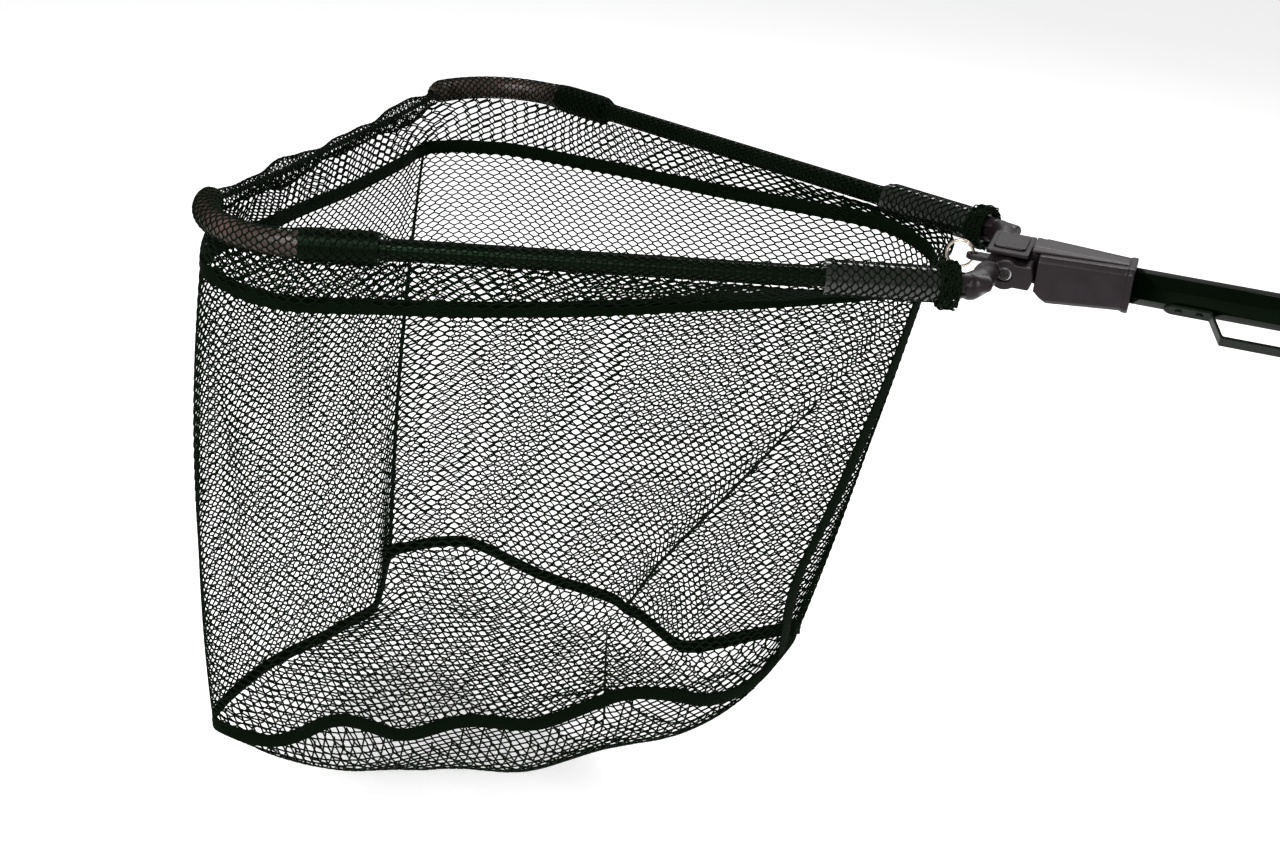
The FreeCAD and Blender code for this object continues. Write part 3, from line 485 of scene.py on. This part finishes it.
for side, word in SIDES:
    moulding(
        "arm_root_" + word, GREY, word + "_arm_body", 0.7, 10, reshape=taper(side)
    )
    moulding(
        "knuckle_" + word, GREY, "head_body", 0.7, 10, neck(side), taper(side)
    )
moulding("lock_housing", GREY, "lock_body", 0.8, 10)
moulding("lock_top_cover", COVER, "lock_body", 0.5, 12)
moulding("hinge_block", GREY, "handle_body", 0.8, 6)
moulding("top_panel", GREY, "handle_body", 0.4, 8)
moulding("belt_clip", CLIP, "handle_body", 0.5, 12)


# The outer tube in mm: across its flats and its bore, and its two ends along the handle.
TUBE_FLATS = 27.0
TUBE_BORE = 24.06
TUBE_ENDS = (46.0, 562.0)


def octagon(flats, corner):
    """The section of an octagonal tube, flats mm across, with its eight edges eased."""
    half = math.radians(22.5)
    reach = (flats / 2 - corner) / math.cos(half)
    points = []
    for k in range(8):
        middle = math.radians(22.5 + 45 * k)
        centre = np.array([math.cos(middle), math.sin(middle)]) * reach
        for step in range(5):
            a = middle + math.radians(-22.5 + 45 * step / 4)
            points.append(centre + corner * np.array([math.cos(a), math.sin(a)]))
    return np.array(points)


def drawn_tube():
    """The octagonal outer tube of the handle."""
    low, high = TUBE_ENDS
    outside, inside = octagon(TUBE_FLATS, 1.3), octagon(TUBE_BORE, 0.4)
    count = len(outside)
    rings = []
    for x, ring in ((low, outside), (high, outside), (high, inside), (low, inside)):
        rings.append(np.column_stack([np.full(count, x), ring]))
    verts = np.concatenate(rings)
    faces = [face[::-1] for face in skin(len(rings), count)]
    item = piece(
        "outer_tube_drawn", world(verts), faces, TUBE, "handle_body", smooth=False
    )
    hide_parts("outer_tube")


drawn_tube()


# ---------------------------------------------------------------- the bag's surface


def arm_point(s, side, drop):
    """A point drop mm below the arm's centre line, s mm from its root."""
    return list(arm_line(s, side)[0] - drop * UP)


# Rings of the bag, each listed from the back along the near side to the front and round.
RIM = [
    (-58, 0, -18), (-62, -84, -10),
    arm_point(140, -1, 11), arm_point(300, -1, 9), arm_point(430, -1, 10), arm_point(530, -1, 12),
    arm_point(620, -1, 11), (-617, -120, -8), (-619, 0, -12), (-617, 120, -8),
    arm_point(620, 1, 11), arm_point(530, 1, 12), arm_point(430, 1, 10), arm_point(300, 1, 9),
    arm_point(140, 1, 11), (-62, 84, -10),
]
TAPE_RING = [
    (-64, 0, -29), (-76, -36, -27),
    (-168, -84, -38), (-318, -188, -42), (-430, -232, -48), (-528, -262, -52),
    (-597, -250, -36), (-609, -112, -44), (-608, 10, -50), (-606, 120, -50),
    (-607, 184, -51), (-540, 218, -50), (-425, 206, -46), (-310, 176, -40),
    (-136, 112, -22), (-72, 52, -22),
]
MIDDLE = [
    (-97, 0, -205), (-103, -26, -206),
    (-182, -96, -212), (-316, -184, -222), (-426, -228, -232), (-530, -262, -244),
    (-605, -259, -252), (-614, -118, -248), (-614, 0, -246), (-606, 84, -244),
    (-600, 134, -242), (-536, 176, -238), (-424, 152, -230), (-312, 128, -218),
    (-178, 66, -208), (-103, 22, -206),
]
FLOOR = [
    (-134, 0, -385), (-141, -18, -388),
    (-196, -112, -404), (-306, -178, -424), (-408, -210, -444), (-510, -240, -462),
    (-596, -256, -470), (-600, -140, -462), (-594, -40, -462), (-588, 40, -462),
    (-584, 84, -462), (-530, 132, -462), (-430, 106, -456), (-326, 86, -448),
    (-232, 22, -424), (-141, 14, -388),
]


def periodic(points, u):
    """A smooth closed curve through the points, at parameters u from 0 to 1."""
    points = np.asarray(points, float)
    count = len(points)
    at = (np.asarray(u) % 1.0) * count
    i = np.floor(at).astype(int)
    t = (at - i)[:, None]
    p0, p1, p2, p3 = (points[(i + k) % count] for k in (-1, 0, 1, 2))
    tension = 0.42
    m1 = tension * (p2 - p0)
    m2 = tension * (p3 - p1)
    t2, t3 = t * t, t * t * t
    return (
        (2 * t3 - 3 * t2 + 1) * p1 + (t3 - 2 * t2 + t) * m1
        + (-2 * t3 + 3 * t2) * p2 + (t3 - t2) * m2
    )


# How far down the bag the upper tape runs, from 0 at the rim to 1 at the floor tape.
TAPE_V = 0.09

# How far the floor tape droops (-) or lifts (+) from a plain loop, in mm, round the bag.
DROOP = [
    (0.0, -2), (0.03, -3), (0.062, -15), (0.083, -30), (0.1, -29), (0.117, -18), (0.134, -2),
    (0.147, 8), (0.157, 12), (0.166, 6), (0.176, -1), (0.188, -8), (0.2, -9), (0.214, -3),
    (0.228, 1), (0.24, -3), (0.253, -10), (0.266, -13), (0.276, -3), (0.286, 6), (0.298, 9),
    (0.313, -4), (0.329, -15), (0.343, -12), (0.36, -2), (0.39, 0),
    (0.42, -6), (0.453, -19), (0.484, -32), (0.516, -39), (0.547, -48), (0.562, -47),
    (0.578, -28), (0.594, -6), (0.61, 0), (0.70, -2), (0.75, -9), (0.797, -11), (0.828, -20),
    (0.859, -30), (0.875, -23), (0.906, -12), (0.94, -7), (1.0, -2),
]


def floor_line(u):
    """The floor tape's line: the plain loop with its droops and lifts."""
    u = np.asarray(u, float)
    places, heights = np.array(DROOP, float).T
    steps = (-0.006, -0.002, 0.002, 0.006)
    line = periodic(FLOOR, u)
    line[:, 2] += sum(np.interp((u + step) % 1.0, places, heights) for step in steps) / 4
    return line


def bag_surface(u, v):
    """A point of the bag at u round it and v down it, 0 at the rim and 1 at the floor tape."""
    u = np.asarray(u, float)
    v = np.asarray(v, float)
    rim, tape = periodic(RIM, u), periodic(TAPE_RING, u)
    middle, floor = periodic(MIDDLE, u), floor_line(u)
    high = np.clip(v / TAPE_V, 0, 1)[:, None]
    t = np.clip((v - TAPE_V) / (1 - TAPE_V), 0, 1)[:, None]
    lower = 2 * (t - 0.5) * (t - 1) * tape + 4 * t * (1 - t) * middle + 2 * t * (t - 0.5) * floor
    points = np.where(v[:, None] < TAPE_V, rim + (tape - rim) * high, lower)
    return points + folds(u, v)


def far_line(down):
    """Where the long pulled fold of the far wall lies round the bag, from its top to the floor."""
    return 0.942 - 0.115 * down - 0.014 * down**4


def folds(u, v):
    """How far the wall's soft upright folds and its two pulled folds move it, in mm."""
    angle = 2 * np.pi * u
    down = np.clip((v - TAPE_V) / (1 - TAPE_V), 0, 1)
    swell = np.sin(np.pi * np.clip(v, 0, 1)) ** 0.8
    corner = bell(u, 0.36, 0.05) + bell(u, 0.64, 0.05)
    wave = (
        1.9 * np.sin(9 * angle + 2.2 * down + 0.6)
        + 1.3 * np.sin(17 * angle - 3.1 * down + 1.9)
        + 2.6 * corner * np.sin(31 * angle + 2.0 * down)
    )
    drape = 6.0 * bell(u, 0.2, 0.045) * np.sin(np.pi * down) * np.sin(5 * down + 0.4)
    crest = np.clip(down * 4, 0, 1) * (7.0 + 8.0 * np.clip(2.5 * down - 0.6, 0, 1))
    crest = crest * np.clip((1.04 - down) * 6, 0.3, 1)
    far_fold = -crest * bell(u % 1.0, far_line(down), 0.0068)
    near_fold = 7.0 * bell(u, 0.352 - 0.082 * down, 0.0090)
    near_fold = near_fold * np.sin(np.pi * np.clip(down * 1.15, 0, 1))
    size = wave * swell + (drape + far_fold + near_fold)
    return size[:, None] * outward(u) * np.array([0.6, 1.0, 0.0])


def outward(u):
    """The level direction that points out of the bag at u round it."""
    angle = 2 * np.pi * u
    return np.stack([np.cos(angle), -np.sin(angle), np.zeros_like(angle)], 1)


# The netting in mm: a cell's width as hung, the drop from one row of knots to the next, which
# is half a cell's height, and the twine's radius.
CELL = 11.2
ROW = 4.9
TWINE = 0.95

# The rows of knots down the wall, and down the skirt above the upper tape.
WALL_ROWS = 87
SKIRT_ROWS = 9


def tubes(lines, radius, sides=3):
    """Thin tubes with open ends along many polylines of equal length: (n, k, 3) points."""
    lines = np.asarray(lines, float)
    count, length, _ = lines.shape
    ahead = np.empty_like(lines)
    ahead[:, 1:-1] = lines[:, 2:] - lines[:, :-2]
    ahead[:, 0] = lines[:, 1] - lines[:, 0]
    ahead[:, -1] = lines[:, -1] - lines[:, -2]
    ahead = unit(ahead)
    first = unit(np.cross(ahead, np.array([0.25, 1.0, 0.3])))
    second = np.cross(ahead, first)
    rings = []
    for k in range(sides):
        a = 2 * math.pi * k / sides
        rings.append(lines + radius * (math.cos(a) * first + math.sin(a) * second))
    verts = np.stack(rings, 2).reshape(-1, 3)
    base = (np.arange(count)[:, None] * length + np.arange(length - 1)[None, :]) * sides
    base = base.reshape(-1)
    quads = []
    for k in range(sides):
        n = (k + 1) % sides
        quads.append(np.stack([base + k, base + n, base + sides + n, base + sides + k], 1))
    return verts, np.concatenate(quads)


def net_tubes(lines, stretch=28):
    """The strands of a net, knotted off into stretches a few cells long."""
    all_verts, all_faces, used = [], [], 0
    for start in range(0, lines.shape[1] - 1, stretch):
        verts, faces = tubes(lines[:, start:start + stretch + 1], TWINE)
        all_verts.append(verts)
        all_faces.append(faces + used)
        used += len(verts)
    return np.concatenate(all_verts), np.concatenate(all_faces)


# The length round the bag, as the mean of its three lower rings, and the strands that fill it.
AROUND_U = np.linspace(0, 1, 1601)
STEPS = sum(
    np.linalg.norm(np.diff(periodic(ring, AROUND_U), axis=0), axis=1)
    for ring in (TAPE_RING, MIDDLE, FLOOR)
) / 3
AROUND = np.concatenate([[0], np.cumsum(STEPS)])
STRANDS = int(2 * round(AROUND[-1] / CELL))


def strand_at(place):
    """How far round the bag a strand lies, counted so that cells keep their real width."""
    place = np.asarray(place, float) / STRANDS
    whole = np.floor(place)
    return whole + np.interp((place - whole) * AROUND[-1], AROUND, AROUND_U)


def strands_between(low, high):
    """The numbers of the strands from one place round the bag to another."""
    number = np.arange(-STRANDS, STRANDS)
    place = strand_at(number + 0.5)
    return number[(place >= low) & (place < high)]


def sways(rows, shift, reach=0.46):
    """A strand's steps to either side, each held for two points so that a knot has length."""
    return np.repeat(np.where((np.arange(rows) + shift) % 2 == 0, reach, -reach), 2)


def zigzag(numbers, top, bottom, rows, surface, offset=0.0):
    """Polylines that zigzag down a surface and just meet their neighbours at each knot."""
    lines = []
    steps = np.linspace(top, bottom, rows)
    knot = 0.23 * (bottom - top) / (rows - 1)
    vs = np.clip(np.repeat(steps, 2) + np.tile([-knot, knot], rows), top, bottom)
    for shift in (0, 1):
        chosen = numbers[numbers % 2 == shift]
        if not len(chosen):
            continue
        u = strand_at(chosen[:, None] + 0.5 + offset + sways(rows, shift + 1, 0.465)[None, :])
        v = np.repeat(vs[None, :], len(chosen), 0)
        lines.append(surface(u.ravel(), v.ravel()).reshape(len(chosen), len(vs), 3))
    return np.concatenate(lines)


def soft(item):
    """Gives a soft piece of the head its own copy of its mesh."""
    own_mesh(item)


def cloth(surface, u_range, v_range):
    """Points on a grid over a stretch of a netting piece's surface, which nothing uses further."""
    u, v = np.meshgrid(np.linspace(*u_range, 90), np.linspace(*v_range, 50), indexing="ij")
    grid = surface(u.ravel(), v.ravel()).reshape(90, 50, 3)


def net_wall(name, low, high, nodes):
    """One stretch of the bag's wall as real netting between two places round it."""
    lines = zigzag(strands_between(low, high), TAPE_V, 1.0, WALL_ROWS, bag_surface)
    verts, faces = net_tubes(lines)
    item = piece(name, world(verts), faces, NET, "head_body")
    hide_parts(*nodes)
    cloth(bag_surface, (low, high), (TAPE_V, 1.0))
    soft(item)


net_wall("netting_near", 0.055, 0.345, ["bag_near_side", "bag_near_bend"])
net_wall("netting_front_near", 0.345, 0.5, ["bag_near_corner", "bag_front"])
net_wall("netting_front_far", 0.5, 0.655, ["bag_far_corner"])
net_wall("netting_far", 0.655, 0.945, ["bag_far_side", "bag_far_bend"])
net_wall("netting_back", -0.055, 0.055, ["bag_back"])


# ---------------------------------------------------------------- the sagging floor

# The floor's edge with and without its droops, the point its netting is centred on, and how far it
# sags below its edge.
FLOOR_U = np.linspace(0, 1, 481)[:-1]
FLOOR_EDGE = floor_line(FLOOR_U)
PLAIN_Z = periodic(FLOOR, FLOOR_U)[:, 2]
FLOOR_MIDDLE = FLOOR_EDGE.mean(0)
SAG = 64.0


def floor_fold(y):
    """Where the pulled fold of the floor runs, from the far tape towards the near one."""
    return -315.5 - 0.36 * y


def floor_surface(x, y):
    """The height of the floor netting at x, y, and whether that lies inside its tape."""
    mid_x, mid_y, mid_z = FLOOR_MIDDLE
    around = np.arctan2(FLOOR_EDGE[:, 1] - mid_y, FLOOR_EDGE[:, 0] - mid_x)
    order = np.argsort(around)
    around, edge = around[order], FLOOR_EDGE[order]
    reach = np.hypot(edge[:, 0] - mid_x, edge[:, 1] - mid_y)
    angle = np.arctan2(y - mid_y, x - mid_x)
    edge_r, edge_z, plain_z = (
        np.interp(angle, around, values, period=2 * np.pi)
        for values in (reach, edge[:, 2], PLAIN_Z[order])
    )
    rho = np.hypot(x - mid_x, y - mid_y) / edge_r
    inside = rho <= 1.0
    rho = np.minimum(rho, 1.0)
    level = mid_z + (plain_z - mid_z) * rho + (edge_z - plain_z) * rho ** 7
    lean = 1.0 + 0.3 * np.clip((mid_y - y) / 150.0, -0.6, 1.0)
    bowl = (1 - rho ** 6.5) ** 0.62 * (lean + 0.17 * bell(x, -290.0, 80.0))
    bowl = bowl * (1 - 0.55 * np.clip((-x - 450.0) / 130.0, 0, 1) ** 1.4)
    crease = 5.0 * bell(x, floor_fold(y), 5.0) * np.clip((y + 90.0) / 50.0, 0, 1)
    crease = crease * np.clip(1.4 * bowl, 0, 1)
    ripple = 2.5 * np.sin(x / 31.0 + y / 47.0) * bowl + 1.5 * np.sin(x / 17.0 - y / 22.0) * bowl
    return level - SAG * bowl + ripple + crease, inside


def net_floor():
    """The floor netting: zigzag twines across the whole width, kept where inside the tape."""
    low, high = FLOOR_EDGE.min(0), FLOOR_EDGE.max(0)
    columns = np.arange(low[0], high[0], CELL / 2)
    rows = np.arange(low[1], high[1], ROW)
    segments_a, segments_b = [], []
    knot = 0.7
    y = np.repeat(rows, 2) + np.tile([-knot, knot], len(rows))
    for k, column in enumerate(columns):
        x = column + sways(len(rows), k) * CELL / 2
        z, inside = floor_surface(x, y)
        points = np.stack([x, y, z], 1)
        both = inside[1:] & inside[:-1]
        segments_a.append(points[:-1][both])
        segments_b.append(points[1:][both])
    a, b = np.concatenate(segments_a), np.concatenate(segments_b)
    verts, faces = tubes(np.stack([a, b], 1), TWINE)
    item = piece("netting_floor", world(verts), faces, NET, "head_body")
    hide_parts("bag_floor")
    xs, ys = (np.arange(low[axis], high[axis], 4.0) for axis in (0, 1))
    x, y = np.meshgrid(xs, ys, indexing="ij")
    z, inside = floor_surface(x.ravel(), y.ravel())
    soft(item)


net_floor()


# ---------------------------------------------------------------- tapes


def band(name, centre, away, upward, width, thick, node, closed=True):
    """A folded binding tape along a line: two rounded lips with a sewn groove between."""
    profile = []
    for k in range(14):
        a = 2 * math.pi * k / 14
        c, s = math.cos(a), math.sin(a)
        x = math.copysign(abs(c) ** 0.55, c) * thick / 2
        y = math.copysign(abs(s) ** 0.8, s) * width / 2
        groove = 0.28 * thick * math.exp(-((abs(y) - 0.3 * width) / (0.06 * width)) ** 2)
        profile.append((x - math.copysign(groove, x), y))
    count, sides = len(centre), len(profile)
    verts = np.stack([centre + away * x + upward * y for x, y in profile], 1).reshape(-1, 3)
    length = np.concatenate([[0], np.cumsum(np.linalg.norm(np.diff(centre, axis=0), axis=1))])
    uvs = np.stack(
        [np.repeat(length / 1000.0, sides), np.tile(np.arange(sides) / sides, count)], 1
    )
    faces = skin(count, sides, closed)
    item = piece(name, world(verts), faces, TAPE, "head_body", uvs=uvs)
    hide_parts(node)
    soft(item)


def ring_band(name, v, width, thick, node):
    """A tape all the way round the bag, v down it."""
    u = np.linspace(0, 1, 361)[:-1]
    line = bag_surface(u, np.full(len(u), v))
    ahead = unit(np.roll(line, -1, 0) - np.roll(line, 1, 0))
    away = unit(np.cross(ahead, UP))
    upward = np.cross(away, ahead)
    upward *= np.sign(upward[:, 2:3])
    band(name, line, away, upward, width, thick, node)


ring_band("upper_tape_band", TAPE_V, 13.5, 3.0, "upper_tape")
ring_band("floor_tape_band", 1.0, 13.0, 3.2, "floor_tape")

# Where the back seam lies round the bag, at steps from the upper tape down to the floor tape.
SEAM_PATH = [
    (0, 0.036), (0.2, 0.042), (0.4, 0.056), (0.6, 0.068), (0.76, 0.080), (0.9, 0.074), (1, 0.062),
]


def back_seam():
    """The tape over the seam down the back of the bag, laid flat on its wall."""
    v = np.linspace(TAPE_V, 1.0, 120)
    down = (v - TAPE_V) / (1 - TAPE_V)
    places, turns = zip(*SEAM_PATH)
    u = sum(np.interp(down + step, places, turns) for step in (-0.05, -0.02, 0.02, 0.05)) / 4
    line = bag_surface(u, v)
    along = unit(bag_surface(u + 0.006, v) - bag_surface(u - 0.006, v))
    away = unit(np.cross(np.gradient(line, axis=0), along))
    away *= -np.sign(away[len(away) // 2, 1])
    band("back_seam_band", line + away, away, along, 13.0, 2.6, "back_seam_tape", closed=False)


back_seam()


def rolled(name, centre, radius, thick):
    """Netting drawn together into a thin twisted roll along a line, finer at its start."""
    t = np.linspace(0, 1, len(centre))
    lines = []
    for k in range(3):
        turn = t * 60.0 + 2 * np.pi * k / 3
        swing = np.stack([np.cos(turn), np.sin(turn), np.zeros_like(turn)], 1)
        lines.append(centre + swing * (radius * np.clip(3 * t, 0.25, 1))[:, None])
    verts, faces = tubes(np.array(lines), thick, sides=6)
    soft(piece(name, world(verts), faces, CORD, "head_body"))


def rolled_seams():
    """The seam down the far front corner, and the pleats pulled in the far wall and the floor."""
    t = np.linspace(0, 1, 140)
    corner = bag_surface(0.612 - 0.008 * t, TAPE_V + (1 - TAPE_V) * t)
    rolled("corner_seam", corner + np.array([-1.0, 0.6, 0.0]), 1.1, 1.2)
    down = 0.44 + 0.55 * t
    wall = bag_surface(far_line(down), TAPE_V + (1 - TAPE_V) * down)
    rolled("wall_pleat", wall, 0.9, 0.95)
    y = 78.0 - 138.0 * t
    height, _ = floor_surface(floor_fold(y), y)
    rolled("floor_pleat", np.stack([floor_fold(y), y, height], 1), 0.7, 0.7)


rolled_seams()


# ---------------------------------------------------------------- hems and skirts


def sleeve_radius(s):
    """The arm's radius at s: over the root sleeve, the tube, the ferrule and the elbow."""
    s = np.asarray(s, float)
    root = rise((SLEEVE_END - s) / 2.2)
    ferrule = rise((s - FERRULE_START) / 2.2) * rise((ELBOW_START - s) / 5.0)
    elbow = rise((s - ELBOW_START) / 5.0)
    return 7.8 + root * 5.7 + ferrule * 5.0 + elbow * 2.5


def round_arm(centre, ahead, radius, angle):
    """Points at an angle round a line that runs ahead, radius mm from it."""
    across = np.cross(ahead, UP) * (radius * np.cos(angle))[:, None]
    return centre + across + UP * (radius * np.sin(angle))[:, None]


def hem(side, word):
    """Netting drawn tight round the arm, as zigzag strands side by side along it."""
    rows, strands = 160, 20
    s = np.linspace(13.0, ARM_END, rows * 2)
    centre = arm_line(s)
    ahead = unit(np.gradient(centre, axis=0))
    radius = sleeve_radius(s) + 0.5 - 0.42 * np.clip(s - CAP_START, 0, 12)
    lines = []
    for k in range(strands):
        lines.append(round_arm(centre, ahead, radius, 2 * np.pi * (k + sways(rows, k)) / strands))
    verts, faces = tubes(sided(np.array(lines), side), 0.66)
    item = piece(f"hem_netting_{word}", world(verts), faces, HEM, f"{word}_arm_body")
    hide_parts(f"hem_{word}")


for side, word in SIDES:
    hem(side, word)


def cuff(side, word, seed):
    """The gathered end of the hem, bunched into a soft ring round the arm's root."""
    rng = np.random.default_rng(seed)
    centre = arm_line([17.5])[0]
    turn = np.linspace(0, 2 * np.pi, 121)
    loops, half_length, inside = 44, 7.0, 14.4
    lines = []
    for k in range(loops):
        at = rng.uniform(-6.0, 6.0)
        swell = math.sqrt(max(0.0, 1 - (at / half_length) ** 2))
        radius = inside + swell * rng.uniform(1.0, 4.4)
        lumps = 0.9 * np.sin(turn * rng.integers(3, 9) + rng.uniform(0, 6))
        lumps += 0.5 * np.sin(turn * rng.integers(10, 24) + rng.uniform(0, 6))
        lean = 2.0 if k % 2 else 6.0
        drift = lean * np.sin(turn * rng.integers(2, 9) + rng.uniform(0, 6))
        wide = radius + lumps * swell
        along = np.clip(at + drift * swell, -6.8, 7.5)
        lines.append(round_arm(centre + HEADING * along[:, None], HEADING, wide, turn))
    verts, faces = tubes(sided(np.array(lines), side), 0.8)
    piece(f"cuff_netting_{word}", world(verts), faces, HEM, f"{word}_arm_body")


cuff(*SIDES[0], 7)
cuff(*SIDES[1], 11)


def split_ring():
    """The ring on the block's nose: two close turns of round wire, like a key ring."""
    wire_radius, ring_radius = 1.08, 11.1
    turn = np.linspace(0, 4 * np.pi, 161)
    across = -1.0 + 2.0 * rise((turn - 2 * np.pi) * 3.0)
    centre = np.array([-41.0, 0.0, 0.5])
    wire = centre + np.stack([ring_radius * np.cos(turn), across, ring_radius * np.sin(turn)], 1)
    verts, faces = tubes(wire[None], wire_radius, sides=10)
    item = piece("split_ring", world(verts), faces, BRONZE, "ring_body")
    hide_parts("net_ring")


split_ring()


def spring():
    """The lock's coil spring, built at one length, though the real one shortens against its seat
    as the housing slides back.
    """
    low, high = 51.8, 77.0
    wire_radius, coil_radius, pitch = 0.45, 15.0, 4.0
    length = high - low - 1.0
    turn = np.linspace(0, 2 * np.pi * length / pitch, 420)
    x = low + 0.5 + length * turn / turn[-1]
    wire = np.stack([x, coil_radius * np.cos(turn), coil_radius * np.sin(turn)], 1)
    verts, faces = tubes(wire[None], wire_radius, sides=8)
    item = piece("coil_spring", world(verts), faces, SPRING, "handle_body")
    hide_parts("lock_spring")
    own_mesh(item)


spring()


def skirt(name, low, high, layer):
    """One layer of the doubled netting between the hem and the upper tape."""
    way = 1 if layer else -1

    def surface(u, v):
        t = v / TAPE_V
        pucker = 2.2 * np.sin(23 * (2 * np.pi * u) + 3 * t)
        bulge = (4.5 * np.sin(np.pi * np.clip(t, 0, 1)) + pucker) * way
        return bag_surface(u, v) + outward(u) * bulge[:, None] * np.array([0.5, 1.0, 0.0])

    lines = zigzag(strands_between(low, high), 0.0, TAPE_V, SKIRT_ROWS, surface, 0.4 * layer)
    verts, faces = tubes(lines, TWINE)
    item = piece(name, world(verts), faces, NET, "head_body")
    cloth(surface, (low, high), (0.0, TAPE_V))
    soft(item)


for layer, word in ((0, "inner"), (1, "outer")):
    skirt(f"skirt_near_{word}", 0.0, 0.40, layer)
    skirt(f"skirt_front_{word}", 0.40, 0.60, layer)
    skirt(f"skirt_far_{word}", 0.60, 1.0, layer)


# How far from the middle the front cord reaches, in mm.
TIP_REACH = 196.0


def tip_line(y, drop):
    """The line across the front between the arms' tips, drop mm down and sagging a little."""
    sag = 5.0 * (1 - (y / TIP_REACH) ** 2)
    return np.stack([-615.0 - 2.0 * np.cos(y / 60.0), y, -sag - drop], 1)


def front_line():
    """The cord between the tips: three strands laid round each other."""
    y = np.linspace(-TIP_REACH, TIP_REACH, 160)
    lines = []
    for k in range(3):
        turn = y / 7.0 + 2 * np.pi * k / 3
        swing = 1.25 * np.stack([np.cos(turn), np.zeros_like(turn), np.sin(turn)], 1)
        lines.append(tip_line(y, 2.0) + swing)
    verts, faces = tubes(np.array(lines), 1.35, sides=8)
    item = piece("front_line", world(verts), faces, CORD, "head_body")
    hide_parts("front_cord")
    soft(item)


def front_edge():
    """The bag's front edge, gathered round the cord with two fuller humps."""
    rows, strands = 110, 16
    y = -200.0 + 400.0 * np.linspace(0, 1, rows * 2)
    hump = bell(y, -95.0, 42.0) + bell(y, 130.0, 46.0)
    radius = 5.6 + 0.9 * np.sin(y / 17.0) + 0.6 * np.sin(y / 8.0 + 1) + 3.4 * hump
    lines = []
    for k in range(strands):
        angle = 2 * np.pi * (k + sways(rows, k)) / strands + 0.3 * np.sin(y / 40.0)
        x, z = radius * np.cos(angle), 1.25 * radius * np.sin(angle)
        lines.append(tip_line(y, 4.0) + np.stack([x, np.zeros_like(angle), z], 1))
    verts, faces = tubes(np.array(lines), 0.7)
    item = piece("front_hem_netting", world(verts), faces, HEM, "head_body")
    soft(item)


front_line()
front_edge()


# ---------------------------------------------------------------- stage, light and camera


def plain_floor():
    """A wide sheet of white paper a little below the net."""
    mesh = bpy.data.meshes.new("floor")
    z = cad_bounds[0][2] - 0.05
    corners = [(-40, -40, z), (40, -40, z), (40, 40, z), (-40, 40, z)]
    mesh.from_pydata(corners, [], [(0, 1, 2, 3)])
    item = bpy.data.objects.new("floor", mesh)
    bpy.context.scene.collection.objects.link(item)
    m = Mat("floor_paper")
    fine = m.ramp(m.noise(m.place(), 3.0, 2.0, 0.5), [(0.0, (0.86,) * 3), (1.0, (0.9,) * 3)])
    m.link(fine, m.bsdf.inputs["Base Color"])
    m.set(Roughness=0.9, Specular_IOR_Level=0.1)
    m.set(Emission_Strength=0.45, Emission_Color=(1.0, 1.0, 1.0, 1.0))
    mesh.materials.append(m.mat)


plain_floor()

sky = bpy.data.worlds.new("studio")
sky.use_nodes = True
backdrop = sky.node_tree.nodes["Background"].inputs
backdrop["Color"].default_value = (1.0, 1.0, 1.0, 1.0)
backdrop["Strength"].default_value = 0.42
bpy.context.scene.world = sky
bpy.context.scene.view_settings.view_transform = "Standard"


def softbox(name, at, target, size, power):
    """A rectangular area light of the given watts, aimed at a target."""
    light = bpy.data.lights.new(name, "AREA")
    light.shape = "RECTANGLE"
    light.size, light.size_y = size
    light.energy = power
    item = bpy.data.objects.new(name, light)
    item.location = at
    item.rotation_euler = (Vector(target) - Vector(at)).to_track_quat("-Z", "Y").to_euler()
    bpy.context.scene.collection.objects.link(item)


CENTRE = (PIVOT - 0.2, 0.0, -0.15)
softbox("key", (PIVOT - 0.5, -1.5, 2.0), CENTRE, (1.2, 0.7), 60)
softbox("strip", (PIVOT - 0.3, -2.1, 0.95), (PIVOT - 0.2, 0.0, 0.0), (2.2, 0.42), 34)
softbox("rim", (PIVOT + 0.2, 1.9, 1.7), CENTRE, (2.0, 0.6), 40)

# The camera fitted to the photograph, with its focal length in pixels.
PICTURE_WIDTH = 1280.0
FOCAL = 1700.0
SENSOR = 36.0
EYE = np.array([125.29, -1340.86, 442.74])
YAW, PITCH, ROLL = (math.radians(a) for a in (-17.676, 25.153, 4.904))
level = math.cos(PITCH)
ahead = np.array([math.sin(YAW) * level, math.cos(YAW) * level, -math.sin(PITCH)])
right = np.array([math.cos(YAW), -math.sin(YAW), 0.0])
above = np.cross(right, ahead)
right, above = (
    math.cos(ROLL) * right + math.sin(ROLL) * above,
    -math.sin(ROLL) * right + math.cos(ROLL) * above,
)
lens = bpy.data.cameras.new("camera")
lens.sensor_fit = "HORIZONTAL"
lens.sensor_width = SENSOR
lens.lens = FOCAL / PICTURE_WIDTH * SENSOR
lens.clip_start = 0.05
lens.clip_end = 60.0
camera = bpy.data.objects.new("camera", lens)
turned = Matrix((right, above, -ahead)).transposed().to_4x4()
turned.translation = Vector(world([EYE])[0])
camera.matrix_world = turned
bpy.context.scene.collection.objects.link(camera)
bpy.context.scene.camera = camera
